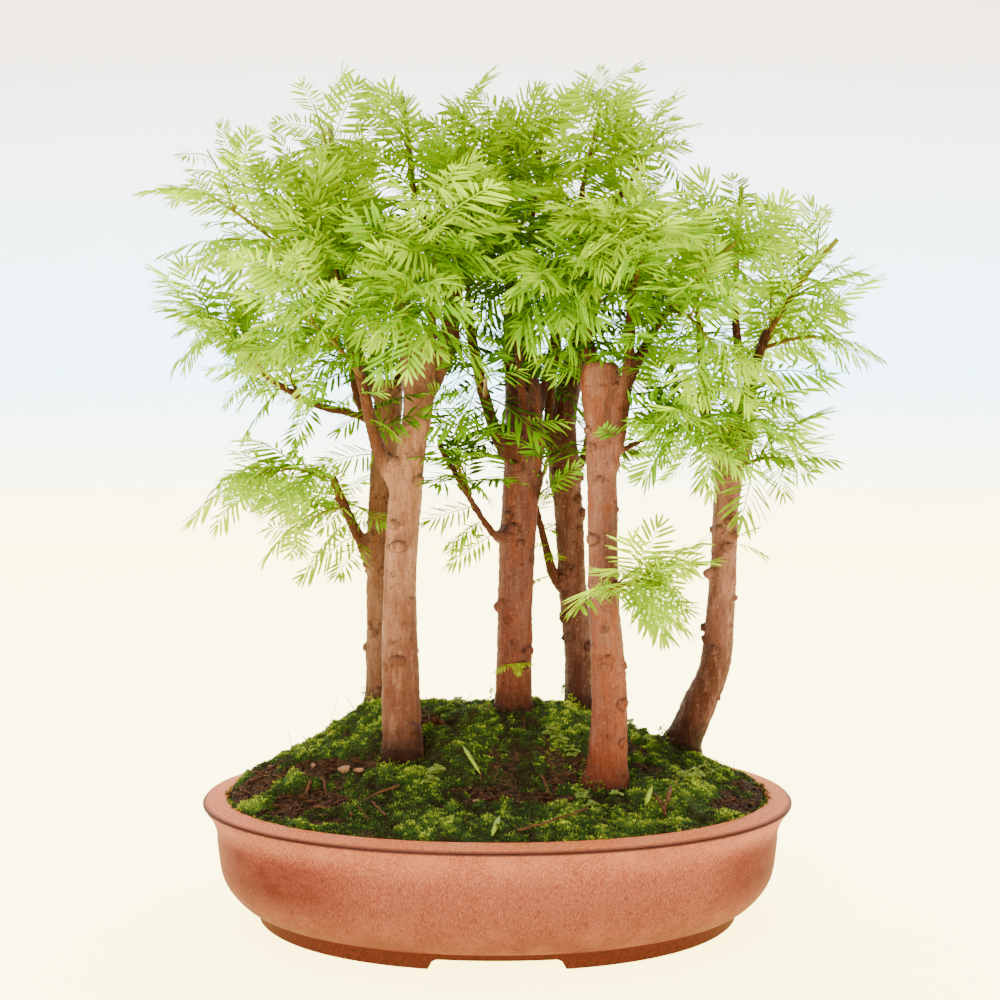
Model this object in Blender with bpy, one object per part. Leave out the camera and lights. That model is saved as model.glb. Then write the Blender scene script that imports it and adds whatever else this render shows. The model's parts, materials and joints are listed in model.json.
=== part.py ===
"""Dawn redwood bonsai forest of six trees in an oval glazed tray.

Sizes in the tables are millimetres in the tray's own frame: X to the right, Y away from
the viewer, Z up from the surface that the feet stand on, with the tray centred on Z.
The finished model is in metres, with its origin under the middle of the whole plant.
"""

import math
import random

import bmesh
import bpy
from mathutils import Matrix, Vector, noise
from mathutils.bvhtree import BVHTree

MM = 0.001
GAP = 0.3
SEED = 27

# Tray, as half length and half width of its oval at each height.
OVAL_POWER = 2.09
TRAY_SIDES = 34
FLOOR_Z = 11.5
TRAY_OUTER = (
    (109.3, 82.3, 0.0),
    (111.2, 83.6, 6.8),
    (117.0, 88.4, 9.0),
    (123.0, 93.4, 15.0),
    (126.6, 96.6, 22.0),
    (128.4, 98.2, 34.0),
    (128.9, 98.6, 40.5),
    (131.0, 100.5, 46.5),
    (134.6, 103.6, 51.6),
    (134.9, 103.9, 53.2),
)
TRAY_INNER = (
    (124.3, 93.2, 54.8),
    (121.6, 90.6, 50.0),
    (118.6, 88.2, 32.0),
    (112.0, 82.4, 17.0),
    (100.0, 72.0, FLOOR_Z),
)
FOOT_INNER = (
    (101.5, 75.0, 0.0),
    (99.0, 72.6, 5.2),
)
FOOT_GAP_HALF = 28.0
FOOT_GAP_HALF_TOP = 25.0
FOOT_GAP_HEIGHT = 4.4
DRAIN_X = 55.0
DRAIN_RADIUS = 8.0
SCREEN_SIZE = 26.0
SCREEN_THICK = 0.9
SCREEN_HOLE = 5.0
SCREEN_PITCH = 7.6

# Mound of soil with its skin of moss.
MOUND_EDGE = 54.6
MOUND_RISE = 33.0
MOUND_CENTRE = (-8.0, 38.0)
MOUND_SPREAD = (110.0, 72.0)
BUMPS = (
    (-62.0, 42.0, 9.0, 26.0),
    (32.0, 48.0, 3.5, 22.0),
    (-104.0, -6.0, 6.0, 24.0),
    (72.0, -28.0, 3.0, 26.0),
    (-48.0, 2.0, 2.0, 18.0),
)
MOUND_RINGS = 6
MOUND_SIDES = 22
COVER_MARGIN = 3.2
SOIL_MARGIN = 1.5
MOSS_THICK = 3.6
MOSS_LUMP = 2.0
MOSS_LUMP_SCALE = 0.055
TRUNK_DEPTH = 26.0
FOOT_TAPER = 0.72
BARE_PATCHES = (
    (-92.0, -34.0, 15.0, 8.0),
    (4.0, -66.0, 16.0, 8.0),
    (92.0, -38.0, 13.0, 8.0),
    (-12.0, -12.0, 10.0, 6.0),
)
PATCH_SIDES = 6

TRUNK_SIDES = 8
BRANCH_SIDES = 5
HOLE_SIDES = 8
FLUTE_REACH = 1.17

# Each tree: its trunk as (x, y, z, radius), then its branches, each as its points and
# its radius at the foot and at the tip.
TREES = {
    "front_left": {
        "trunk": (
            (-43.2, -10, 71, 11.0), (-43.4, -10, 80, 9.2), (-44.5, -10, 100, 8.5),
            (-44.8, -9, 149, 7.6), (-42.6, -8, 188, 7.8), (-40.3, -8, 208, 7.3),
            (-36.6, -8, 232, 7.0), (-35.4, -8, 246, 8.3), (-35.0, -8, 262, 11.0),
        ),
        "branches": (
            (((-33, -8, 240), (-23, -8, 258), (-21, -9, 277), (-18, -12, 296)), 5.6, 3.4),
            (((-44, -8, 190), (-55, -9, 213), (-61, -11, 239), (-67, -14, 262),
              (-70, -16, 281)), 3.6, 2.0),
            (((-40, -10, 252), (-43, -28, 268), (-43, -37, 277)), 3.2, 2.2),
            (((-30, -12, 254), (-29, -30, 278), (-29, -38, 289)), 2.8, 1.9),
            (((-21, -8, 270), (-26, -7, 300), (-38, -8, 326)), 2.8, 1.8),
        ),
    },
    "back_left": {
        "trunk": (
            (-59.5, 42, 82, 8.2), (-59.0, 42, 98, 6.9), (-59.2, 41, 145, 6.6),
            (-58.6, 41, 188, 6.5), (-54.8, 40, 229, 7.0), (-54.7, 40, 249, 7.4),
        ),
        "branches": (
            (((-61, 41, 150), (-66, 38, 164), (-72, 36, 178), (-77, 33, 190),
              (-81, 30, 201)), 3.8, 2.0),
            (((-57, 40, 226), (-72, 38, 232), (-92, 36, 237), (-112, 34, 249),
              (-121, 32, 258)), 2.7, 1.6),
            (((-57, 41, 224), (-68, 44, 235), (-73, 46, 254), (-74, 48, 275)), 3.0, 1.9),
            (((-52, 41, 240), (-48, 55, 262), (-46, 70, 290)), 3.0, 1.9),
            (((-58, 42, 236), (-68, 54, 256), (-72, 61, 274)), 2.6, 1.7),
        ),
    },
    "centre": {
        "trunk": (
            (7.3, 30, 83, 11.4), (7.6, 30, 92, 9.4), (8.1, 29, 111, 8.8),
            (8.8, 27, 146, 8.5), (10.9, 25, 188, 8.7), (12.9, 24, 209, 9.6),
            (13.6, 24, 218, 10.2), (12.4, 24, 238, 9.0), (10.7, 26, 268, 7.4),
            (9.8, 28, 292, 5.2),
        ),
        "branches": (
            (((10, 23, 206), (2, 19, 215), (-5, 15, 235), (-11, 13, 259),
              (-15, 13, 284)), 4.0, 2.2),
            (((11, 20, 212), (14, 12, 226), (11, 8, 245), (8, 6, 285)), 3.0, 1.8),
            (((15, 27, 222), (22, 30, 240), (29, 36, 277)), 3.2, 1.8),
            (((8, 25, 166), (0, 20, 171), (-8, 17, 181), (-20, 10, 202),
              (-28, 6, 216)), 2.2, 1.4),
            (((9, 28, 284), (5, 23, 311), (2, 17, 334)), 3.4, 1.9),
            (((11, 29, 284), (16, 28, 306), (17, 26, 327)), 3.0, 1.8),
            (((12, 30, 274), (6, 58, 298), (1, 80, 316)), 3.0, 1.8),
        ),
    },
    "back_right": {
        "trunk": (
            (41.4, 52, 80, 9.0), (41.2, 51, 92, 7.4), (39.9, 48, 123, 7.2),
            (37.5, 46, 147, 7.0), (35.6, 44, 184, 6.9), (33.6, 44, 202, 8.2),
            (32.6, 44, 222, 7.4), (34.5, 46, 240, 6.6), (40.3, 50, 266, 5.4),
            (45.6, 54, 301, 4.0),
        ),
        "branches": (
            (((36, 45, 140), (28, 40, 152), (24, 38, 166), (18, 35, 189)), 3.2, 1.8),
            (((32, 42, 202), (26, 36, 217), (26, 36, 242), (34, 54, 286)), 3.4, 1.9),
            (((35, 46, 200), (44, 56, 211), (48, 66, 228), (48, 70, 241)), 2.8, 1.7),
            (((36, 48, 240), (43, 66, 264), (53, 84, 294), (55, 89, 311)), 3.4, 1.9),
        ),
    },
    "front_right": {
        "trunk": (
            (48.2, -30, 63, 11.0), (48.8, -30, 73, 8.8), (49.6, -31, 92, 8.0),
            (49.1, -32, 112, 7.7), (47.1, -32, 145, 7.1), (46.4, -33, 185, 7.1),
            (45.2, -33, 222, 6.4), (45.1, -33, 240, 8.2), (45.6, -33, 249.5, 7.9),
        ),
        "branches": (
            (((46, -33, 200), (52, -37, 211), (55, -38, 230), (57, -39, 248),
              (59, -40, 283)), 3.6, 2.2),
            (((57, -38, 240), (64, -34, 255), (76, -28, 274), (87, -21, 286)), 2.8, 1.8),
            (((51, -34, 209), (68, -30, 218), (86, -26, 233)), 1.7, 1.2),
            (((45, -31, 244), (40, -24, 262), (39, -18, 289), (39, -13, 312),
              (39, -10, 334)), 3.4, 1.8),
            (((40, -18, 284), (47, -10, 309), (59, -2, 334)), 2.4, 1.6),
        ),
    },
    "right": {
        "trunk": (
            (90.0, 30, 66, 10.2), (92.6, 30, 74, 8.6), (99.5, 29, 91, 8.6),
            (106.0, 28, 107, 7.6), (108.5, 27, 126, 7.0), (110.0, 26, 155, 6.4),
            (110.8, 25, 177, 6.3), (112.2, 24, 200, 6.8), (112.0, 25, 216, 8.6),
            (111.3, 25, 226, 7.4),
        ),
        "branches": (
            (((108, 24, 214), (102, 25, 227), (101, 27, 245), (99, 30, 277)), 3.6, 2.2),
            (((114, 23, 200), (121, 21, 216), (122, 19, 236), (124, 18, 252),
              (130, 18, 271)), 3.0, 2.4),
            (((123, 19, 247), (116, 18, 262), (114, 18, 285)), 2.6, 1.8),
            (((112, 29, 214), (124, 50, 235), (132, 68, 261)), 3.0, 1.8),
        ),
    },
}

# Each leafy shoot: where it leaves its tree's wood and where it ends.
SHOOTS = {
    "front_left": (
        ((-70, -16, 280), (-82, -32, 328)), ((-69, -15, 274), (-138, -30, 333)),
        ((-68, -14, 268), (-79, 6, 366)), ((-43, -36, 275), (-36, -84, 262)),
        ((-29, -37, 287), (-20, -84, 304)), ((-38, -8, 324), (-44, -5, 376)),
        ((-20, -11, 290), (-11, 4, 362)), ((-62, -12, 245), (-84, -76, 268)),
        ((-18, -12, 294), (-8, -46, 330)),
    ),
    "back_left": (
        ((-112, 34, 249), (-158, 2, 292)), ((-74, 47, 272), (-128, 24, 359)),
        ((-120, 32, 257), (-138, 16, 282)), ((-98, 36, 240), (-122, 72, 272)),
        ((-81, 30, 200), (-128, 4, 205)), ((-75, 34, 186), (-112, 68, 170)),
        ((-72, 60, 273), (-110, 104, 322)), ((-46, 69, 288), (-66, 104, 354)),
        ((-47, 62, 276), (-80, 62, 374)),
    ),
    "centre": (
        ((-15, 13, 282), (-8, -22, 315)), ((-13, 16, 192), (-24, -6, 214)),
        ((-6, 14, 238), (-4, -52, 244)), ((3, 18, 330), (7, 5, 377)),
        ((17, 26, 325), (24, 18, 379)), ((2, 78, 314), (34, 96, 372)),
        ((0, 78, 312), (-20, 110, 368)), ((8, 6, 283), (24, -58, 272)),
    ),
    "back_right": (
        ((45, 54, 298), (42, 76, 345)), ((55, 88, 308), (80, 112, 367)),
        ((53, 84, 294), (104, 108, 318)), ((19, 36, 187), (26, 12, 216)),
        ((48, 70, 240), (80, 104, 272)),
    ),
    "front_right": (
        ((39, -10, 332), (50, -16, 376)), ((58, -3, 330), (82, -8, 368)),
        ((59, -40, 281), (42, -76, 308)), ((58, -40, 276), (64, -85, 302)),
        ((86, -22, 284), (112, -44, 309)), ((39, -18, 284), (16, -80, 280)),
        ((78, -28, 274), (90, -78, 250)), ((47, -40, 150), (66, -72, 154)),
        ((85, -26, 232), (84, -52, 213)),
    ),
    "right": (
        ((114, 18, 283), (116, 10, 338)), ((130, 18, 269), (160, 4, 312)),
        ((127, 18, 262), (164, -8, 266)), ((99, 30, 275), (98, 56, 322)),
        ((131, 67, 260), (164, 104, 301)), ((116, 20, 205), (140, -12, 210)),
        ((111, 20, 220), (104, -42, 236)),
    ),
}

STEM_SIDES = 3
STEM_RADIUS = 1.05
STEM_TIP_RADIUS = 0.75
STEM_BOW = 0.06
STEM_WOBBLE = 0.28
FEATHER_THICK = 0.7
NEEDLE_LENGTH = 12.5
NEEDLE_PAIRS = 3
NEEDLE_SWEEP = 5.0
CORE_HALF = 0.75
DROOP_ALONG = 0.16
DROOP_ACROSS = 0.012
TIP_REACH = 6.0
SIDE_FEATHER = 24.0
END_FEATHER = 20.0
SIDE_SPREAD = 0.95
ROOT_SINK = 0.8
LONG_STEM = 36.0
UNION_TRIES = 8
END_SETBACK = 10.0
TEST_START = 0.6

Z_AXIS = Vector((0.0, 0.0, 1.0))


def clear_scene():
    """Remove what the scene starts with."""
    for old in list(bpy.data.objects):
        bpy.data.objects.remove(old, do_unlink=True)


def make_material(name, colour, roughness, metallic=0.0):
    """One plain surface for a sub-part."""
    material = bpy.data.materials.new(name)
    material.use_nodes = True
    shader = material.node_tree.nodes["Principled BSDF"]
    shader.inputs["Base Color"].default_value = (*colour, 1.0)
    shader.inputs["Roughness"].default_value = roughness
    shader.inputs["Metallic"].default_value = metallic
    return material


def make_object(name, bm, material=None):
    """Turn a mesh built in millimetres into an object in metres."""
    bmesh.ops.scale(bm, vec=(MM, MM, MM), verts=bm.verts)
    bmesh.ops.recalc_face_normals(bm, faces=bm.faces)
    mesh = bpy.data.meshes.new(name)
    bm.to_mesh(mesh)
    bm.free()
    if material:
        mesh.materials.append(material)
    piece = bpy.data.objects.new(name, mesh)
    bpy.context.collection.objects.link(piece)
    return piece


def apply_modifiers(piece):
    """Keep the evaluated mesh and drop the modifiers that made it."""
    graph = bpy.context.evaluated_depsgraph_get()
    final = bpy.data.meshes.new_from_object(piece.evaluated_get(graph))
    old = piece.data
    piece.modifiers.clear()
    piece.data = final
    bpy.data.meshes.remove(old)


def remove_objects(pieces):
    """Delete objects that were only needed for a Boolean."""
    for piece in pieces:
        bpy.data.objects.remove(piece, do_unlink=True)


def combine(piece, others, operation, solver="EXACT"):
    """Join or cut one object with several, and remove the others."""
    group = bpy.data.collections.new(piece.name + "_group")
    for other in others:
        group.objects.link(other)
    boolean = piece.modifiers.new("combine", "BOOLEAN")
    boolean.operation = operation
    boolean.operand_type = "COLLECTION"
    boolean.collection = group
    boolean.solver = solver
    apply_modifiers(piece)
    remove_objects(others)
    bpy.data.collections.remove(group)


def keep_largest(piece):
    """Drop loose scraps that a Boolean left beside the body."""
    bm = bmesh.new()
    bm.from_mesh(piece.data)
    bmesh.ops.remove_doubles(bm, verts=bm.verts, dist=0.00002)
    bmesh.ops.dissolve_degenerate(bm, edges=bm.edges, dist=0.00002)
    unseen = set(bm.faces)
    shells = []
    while unseen:
        front = [unseen.pop()]
        shell = list(front)
        while front:
            for edge in front.pop().edges:
                for other in edge.link_faces if edge.is_manifold else ():
                    if other in unseen:
                        unseen.discard(other)
                        shell.append(other)
                        front.append(other)
        shells.append(shell)
    shells.sort(key=len, reverse=True)
    for shell in shells[1:]:
        bmesh.ops.delete(bm, geom=shell, context="FACES")
    bm.to_mesh(piece.data)
    bm.free()


def is_sound(piece):
    """True where a mesh is closed, with two faces at every edge and no bow-tie corner."""
    bm = bmesh.new()
    bm.from_mesh(piece.data)
    sound = all(edge.is_manifold for edge in bm.edges) and all(v.is_manifold for v in bm.verts)
    bm.free()
    return sound


def oval_point(half_x, half_y, angle):
    """Point of the tray's oval at an angle."""
    cos_a = math.cos(angle)
    sin_a = math.sin(angle)
    power = 2.0 / OVAL_POWER
    x = half_x * math.copysign(abs(cos_a) ** power, cos_a)
    y = half_y * math.copysign(abs(sin_a) ** power, sin_a)
    return x, y


def add_oval(bm, half_x, half_y, height, sides):
    """Add one closed oval loop; height is a number or a rule of x and y."""
    ring = bmesh.ops.create_circle(bm, cap_ends=False, segments=sides, radius=1.0)["verts"]
    for index, vert in enumerate(ring):
        x, y = oval_point(half_x, half_y, (index + 0.5) * math.tau / sides)
        vert.co = (x, y, height(x, y) if callable(height) else height)
    return ring


def ring_edges(ring):
    """The edges that run round one loop of vertices."""
    members = set(ring)
    return [edge for vert in ring for edge in vert.link_edges if edge.other_vert(vert) in members]


def bridge(bm, lower, upper):
    """Face the strip between two loops."""
    edges = set(ring_edges(lower)) | set(ring_edges(upper))
    bmesh.ops.bridge_loops(bm, edges=list(edges))


def close_ring(bm, ring, height=None):
    """Close a loop with a fan round a middle point."""
    face = bm.faces.new(ring)
    poked = bmesh.ops.poke(bm, faces=[face])
    if height is not None:
        poked["verts"][0].co.z = height


def loft_ovals(bm, ovals, sides):
    """Closed body through a run of ovals, its two ends filled."""
    rings = [add_oval(bm, *oval, sides) for oval in ovals]
    for lower, upper in zip(rings, rings[1:]):
        bridge(bm, lower, upper)
    close_ring(bm, rings[0])
    close_ring(bm, rings[-1])


def make_foot_cutter(name, side_y):
    """Block with slanted ends that opens the foot ring at the front or back."""
    bm = bmesh.new()
    outline = (
        (-FOOT_GAP_HALF - 1.0, -1.5), (-FOOT_GAP_HALF, 0.4), (-FOOT_GAP_HALF_TOP, FOOT_GAP_HEIGHT),
        (FOOT_GAP_HALF_TOP, FOOT_GAP_HEIGHT), (FOOT_GAP_HALF, 0.4), (FOOT_GAP_HALF + 1.0, -1.5),
    )
    inner_y = side_y * 60.0
    outer_y = side_y * 95.0
    face = bm.faces.new([bm.verts.new((x, inner_y, z)) for x, z in outline])
    moved = bmesh.ops.extrude_face_region(bm, geom=[face])["geom"]
    for vert in (item for item in moved if isinstance(item, bmesh.types.BMVert)):
        vert.co.y = outer_y
    return make_object(name, bm)


def make_drain_cutter(name, x):
    """Round bar that opens a drain hole in the floor."""
    bm = bmesh.new()
    bmesh.ops.create_cone(
        bm, cap_ends=True, segments=16, radius1=DRAIN_RADIUS, radius2=DRAIN_RADIUS,
        depth=20.0, matrix=Matrix.Translation((x, 0.0, 8.0)),
    )
    return make_object(name, bm)


def build_tray(material):
    """Glazed oval tray with its rolled lip, two feet and two drain holes."""
    bm = bmesh.new()
    loft_ovals(bm, FOOT_INNER[::-1] + TRAY_OUTER + TRAY_INNER, TRAY_SIDES)
    tray = make_object("tray", bm, material)
    cutters = [make_foot_cutter("foot_gap_front", -1.0), make_foot_cutter("foot_gap_back", 1.0)]
    cutters += [make_drain_cutter(f"drain_{side}", side * DRAIN_X) for side in (-1, 1)]
    combine(tray, cutters, "DIFFERENCE")
    return tray


def build_screen(name, x, material):
    """Drain screen: a thin square plate with rows of openings."""
    bm = bmesh.new()
    middle = FLOOR_Z + GAP + SCREEN_THICK / 2.0
    bmesh.ops.create_cube(
        bm, size=1.0, matrix=Matrix.Translation((x, 0.0, middle))
        @ Matrix.Diagonal((SCREEN_SIZE, SCREEN_SIZE, SCREEN_THICK, 1.0)),
    )
    screen = make_object(name, bm, material)
    cutters = []
    for column in (-1.0, 0.0, 1.0):
        for row in (-0.5, 0.5):
            bm = bmesh.new()
            spot = (x + column * SCREEN_PITCH, row * SCREEN_PITCH, middle)
            bmesh.ops.create_cube(
                bm, size=1.0, matrix=Matrix.Translation(spot)
                @ Matrix.Diagonal((SCREEN_HOLE, SCREEN_HOLE, SCREEN_THICK * 4.0, 1.0)),
            )
            cutters.append(make_object(f"{name}_hole", bm))
    combine(screen, cutters, "DIFFERENCE")
    return screen


def mound_height(x, y):
    """Height of the planted surface over a point of the tray."""
    half_x, half_y = TRAY_INNER[0][0], TRAY_INNER[0][1]
    rho = (abs(x / half_x) ** OVAL_POWER + abs(y / half_y) ** OVAL_POWER) ** (1.0 / OVAL_POWER)
    edge = max(0.0, 1.0 - rho ** 7.0) ** 0.8
    off_x = (x - MOUND_CENTRE[0]) / MOUND_SPREAD[0]
    off_y = (y - MOUND_CENTRE[1]) / MOUND_SPREAD[1]
    rise = MOUND_RISE * math.exp(-off_x * off_x - off_y * off_y)
    for bump_x, bump_y, height, spread in BUMPS:
        distance = ((x - bump_x) ** 2 + (y - bump_y) ** 2) / spread ** 2
        rise += height * math.exp(-distance)
    return MOUND_EDGE + rise * edge


def moss_top(x, y):
    """Height of the moss, which swells in low cushions."""
    spot = Vector((x * MOSS_LUMP_SCALE, y * MOSS_LUMP_SCALE, 0.5))
    return mound_height(x, y) + MOSS_LUMP * noise.noise(spot)


def soil_top(x, y):
    """Height of the soil under the moss."""
    return mound_height(x, y) - MOSS_THICK


def moss_base(x, y):
    """Underside of the moss, just clear of the soil."""
    return soil_top(x, y) + GAP


def mound_cover(bm, height, margin):
    """Rings over the whole mound at a height rule, closed at the middle."""
    rings = []
    for step in range(MOUND_RINGS):
        share = 1.0 - step / MOUND_RINGS
        half_x = (TRAY_INNER[0][0] - margin) * share
        half_y = (TRAY_INNER[0][1] - margin) * share
        rings.append(add_oval(bm, half_x, half_y, height, MOUND_SIDES))
    for outer, inner in zip(rings, rings[1:]):
        bridge(bm, outer, inner)
    close_ring(bm, rings[-1], height(0.0, 0.0))
    return rings[0]


def split_quads(bm):
    """Split every quad the same way in the soil and in the moss over it."""
    quads = [face for face in bm.faces if len(face.verts) > 3]
    bmesh.ops.triangulate(bm, faces=quads, quad_method="SHORT_EDGE")


def build_soil(material, hole_cutters):
    """Soil body that fills the tray and rises in a mound, with the trunks' holes."""
    bm = bmesh.new()
    rim = mound_cover(bm, soil_top, COVER_MARGIN)
    lower = rim
    for half_x, half_y, z in TRAY_INNER[1:]:
        height = min(z, MOUND_EDGE - MOSS_THICK - 3.0) + GAP
        ring = add_oval(bm, half_x - SOIL_MARGIN, half_y - SOIL_MARGIN, height, MOUND_SIDES)
        bridge(bm, lower, ring)
        lower = ring
    close_ring(bm, lower)
    split_quads(bm)
    soil = make_object("soil", bm, material)
    pockets = []
    for side in (-1, 1):
        bm = bmesh.new()
        size = SCREEN_SIZE + 2.0 * GAP
        depth = 2.0 * (SCREEN_THICK + 2.0 * GAP)
        bmesh.ops.create_cube(
            bm, size=1.0, matrix=Matrix.Translation((side * DRAIN_X, 0.0, FLOOR_Z))
            @ Matrix.Diagonal((size, size, depth, 1.0)),
        )
        pockets.append(make_object(f"pocket_{side}", bm))
    combine(soil, pockets + hole_cutters, "DIFFERENCE")
    keep_largest(soil)
    return soil


def build_moss(material, hole_cutters):
    """Skin of moss over the soil, open round the trunks and at the bare patches."""
    bm = bmesh.new()
    outer_top = mound_cover(bm, moss_top, COVER_MARGIN)
    outer_base = mound_cover(bm, moss_base, COVER_MARGIN)
    split_quads(bm)
    bridge(bm, outer_top, outer_base)
    split_quads(bm)
    moss = make_object("moss", bm, material)
    draw = random.Random(SEED)
    patches = []
    for x, y, half_x, half_y in BARE_PATCHES:
        bm = bmesh.new()
        outline = []
        for index in range(PATCH_SIDES):
            angle = index * math.tau / PATCH_SIDES
            swell = draw.uniform(0.75, 1.15)
            spot = (x + half_x * swell * math.cos(angle), y + half_y * swell * math.sin(angle))
            outline.append(bm.verts.new((*spot, 30.0)))
        face = bm.faces.new(outline)
        moved = bmesh.ops.extrude_face_region(bm, geom=[face])["geom"]
        for vert in (item for item in moved if isinstance(item, bmesh.types.BMVert)):
            vert.co.z = 120.0
        patches.append(make_object("bare_patch", bm))
    combine(moss, patches + hole_cutters, "DIFFERENCE")
    keep_largest(moss)
    return moss


def smooth_path(points, steps):
    """Points along a smooth curve through the given ones; a fourth value is a radius."""
    rows = [Vector(point) for point in points]
    rows = [rows[0] * 2.0 - rows[1]] + rows + [rows[-1] * 2.0 - rows[-2]]
    out = []
    for index in range(1, len(rows) - 2):
        before, start, end, after = rows[index - 1:index + 3]
        for step in range(steps):
            t = step / steps
            out.append(
                0.5 * (2.0 * start + (end - before) * t
                       + (2.0 * before - 5.0 * start + 4.0 * end - after) * t * t
                       + (3.0 * start - before - 3.0 * end + after) * t ** 3)
            )
    out.append(rows[-2])
    return out


def trunk_shape(tree, foot):
    """Path and radii of a trunk from below the moss to its cut top."""
    x, y, z, radius = tree["trunk"][0]
    rows = ((x, y, z - foot, radius * FOOT_TAPER),) + tree["trunk"]
    return [Vector(row[:3]) for row in rows], [row[3] for row in rows]


def add_closed_tube(path, radii, sides, name, material=None, swell=None):
    """One tube as its own closed object."""
    bm = bmesh.new()
    frame = None
    rings = []
    for index, (spot, radius) in enumerate(zip(path, radii)):
        ahead = (path[min(index + 1, len(path) - 1)] - path[max(index - 1, 0)]).normalized()
        if frame is None:
            frame = ahead.orthogonal()
        frame = (frame - ahead * frame.dot(ahead)).normalized()
        other = ahead.cross(frame)
        ring = bmesh.ops.create_circle(bm, cap_ends=False, segments=sides, radius=1.0)["verts"]
        for corner, vert in enumerate(ring):
            angle = corner * math.tau / sides
            reach = radius * (swell(index, angle) if swell else 1.0)
            vert.co = spot + (frame * math.cos(angle) + other * math.sin(angle)) * reach
        rings.append(ring)
    for low, high in zip(rings, rings[1:]):
        bridge(bm, low, high)
    bm.faces.new(rings[0])
    bm.faces.new(rings[-1])
    return make_object(name, bm, material)


def build_tree(name, tree, material):
    """Trunk with its branches fused to it as one body of wood."""
    draw = random.Random(name)
    phase = draw.uniform(0.0, math.tau)

    def fluted(index, angle):
        flare = max(0.0, 1.0 - index / 5.0)
        lobes = 0.12 * flare * math.sin(3.0 * angle + phase)
        return 1.0 + lobes + 0.05 * math.sin(2.0 * angle + phase + index * 0.8)

    path, radii = trunk_shape(tree, TRUNK_DEPTH)
    wood = add_closed_tube(path, radii, TRUNK_SIDES, f"tree_{name}", material, fluted)
    branches = []
    for points, foot, tip in tree["branches"]:
        path = smooth_path(points, 2 if len(points) < 4 else 1)
        count = len(path) - 1
        radii = [foot + (tip - foot) * index / count for index in range(count + 1)]
        branches.append(add_closed_tube(path, radii, BRANCH_SIDES, "branch"))
    combine(wood, branches, "UNION")
    keep_largest(wood)
    return wood


def build_hole_cutters(tree):
    """Plain round hole for a trunk's foot."""
    path, radii = trunk_shape(tree, TRUNK_DEPTH + GAP)
    reach = FLUTE_REACH / math.cos(math.pi / HOLE_SIDES)
    keep = [index for index, spot in enumerate(path) if spot.z < tree["trunk"][0][2] + 24.0]
    spots = [path[index] for index in keep]
    sizes = [radii[index] * reach + GAP for index in keep]
    return add_closed_tube(spots, sizes, HOLE_SIDES, "trunk_hole")


def mesh_tree(piece, grow=0.0):
    """Search tree of an object's surface in millimetres, grown along its normals."""
    mesh = piece.data
    points = [(vert.co / MM) + vert.normal * grow for vert in mesh.vertices]
    faces = [tuple(face.vertices) for face in mesh.polygons]
    return BVHTree.FromPolygons(points, faces)


def feather_mesh(bm, root, ahead, up, length, thick, grow=0.0):
    """Flat feathery twig: needles cut to the rib in one arched blade's outline.

    The needles are longest a little before the middle of the twig and lean forward.
    """
    side = ahead.cross(up).normalized()
    up = side.cross(ahead).normalized()

    def place(along, across):
        share = along / length
        bow = -DROOP_ALONG * length * share * share - DROOP_ACROSS * across * across
        return root + ahead * along + side * across + up * (bow + thick / 2.0)

    faces = []
    step = length / (NEEDLE_PAIRS + 0.6)
    edges = []
    for index in range(NEEDLE_PAIRS + 1):
        along = index * step
        edges.append((bm.verts.new(place(along, CORE_HALF + grow)),
                      bm.verts.new(place(along, -CORE_HALF - grow))))
    for index in range(NEEDLE_PAIRS):
        share = (index + 0.5) / NEEDLE_PAIRS
        reach = NEEDLE_LENGTH * (0.72 + 0.9 * share - 1.15 * share * share)
        along = (index + 0.5) * step + NEEDLE_SWEEP * (0.7 + 0.5 * share)
        left_low, right_low = edges[index]
        left_high, right_high = edges[index + 1]
        left_tip = bm.verts.new(place(along, reach + grow))
        right_tip = bm.verts.new(place(along, -reach - grow))
        faces.append(bm.faces.new((left_low, left_high, left_tip)))
        faces.append(bm.faces.new((right_high, right_low, right_tip)))
        faces.append(bm.faces.new((left_high, left_low, right_low)))
        faces.append(bm.faces.new((left_high, right_low, right_high)))
    tip = bm.verts.new(place(length + TIP_REACH, 0.0))
    faces.append(bm.faces.new((edges[-1][0], edges[-1][1], tip)))
    moved = bmesh.ops.extrude_face_region(bm, geom=faces)["geom"]
    drop = -up * thick
    for vert in (item for item in moved if isinstance(item, bmesh.types.BMVert)):
        vert.co += drop
    bmesh.ops.recalc_face_normals(bm, faces=bm.faces)


def is_clear(candidate, obstacles):
    """True where a candidate's surface meets none of the obstacles."""
    return not any(candidate.overlap(other) for other in obstacles)


def turned(vector, axis, angle):
    """A vector turned round an axis."""
    return Matrix.Rotation(angle, 3, axis) @ vector


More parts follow.
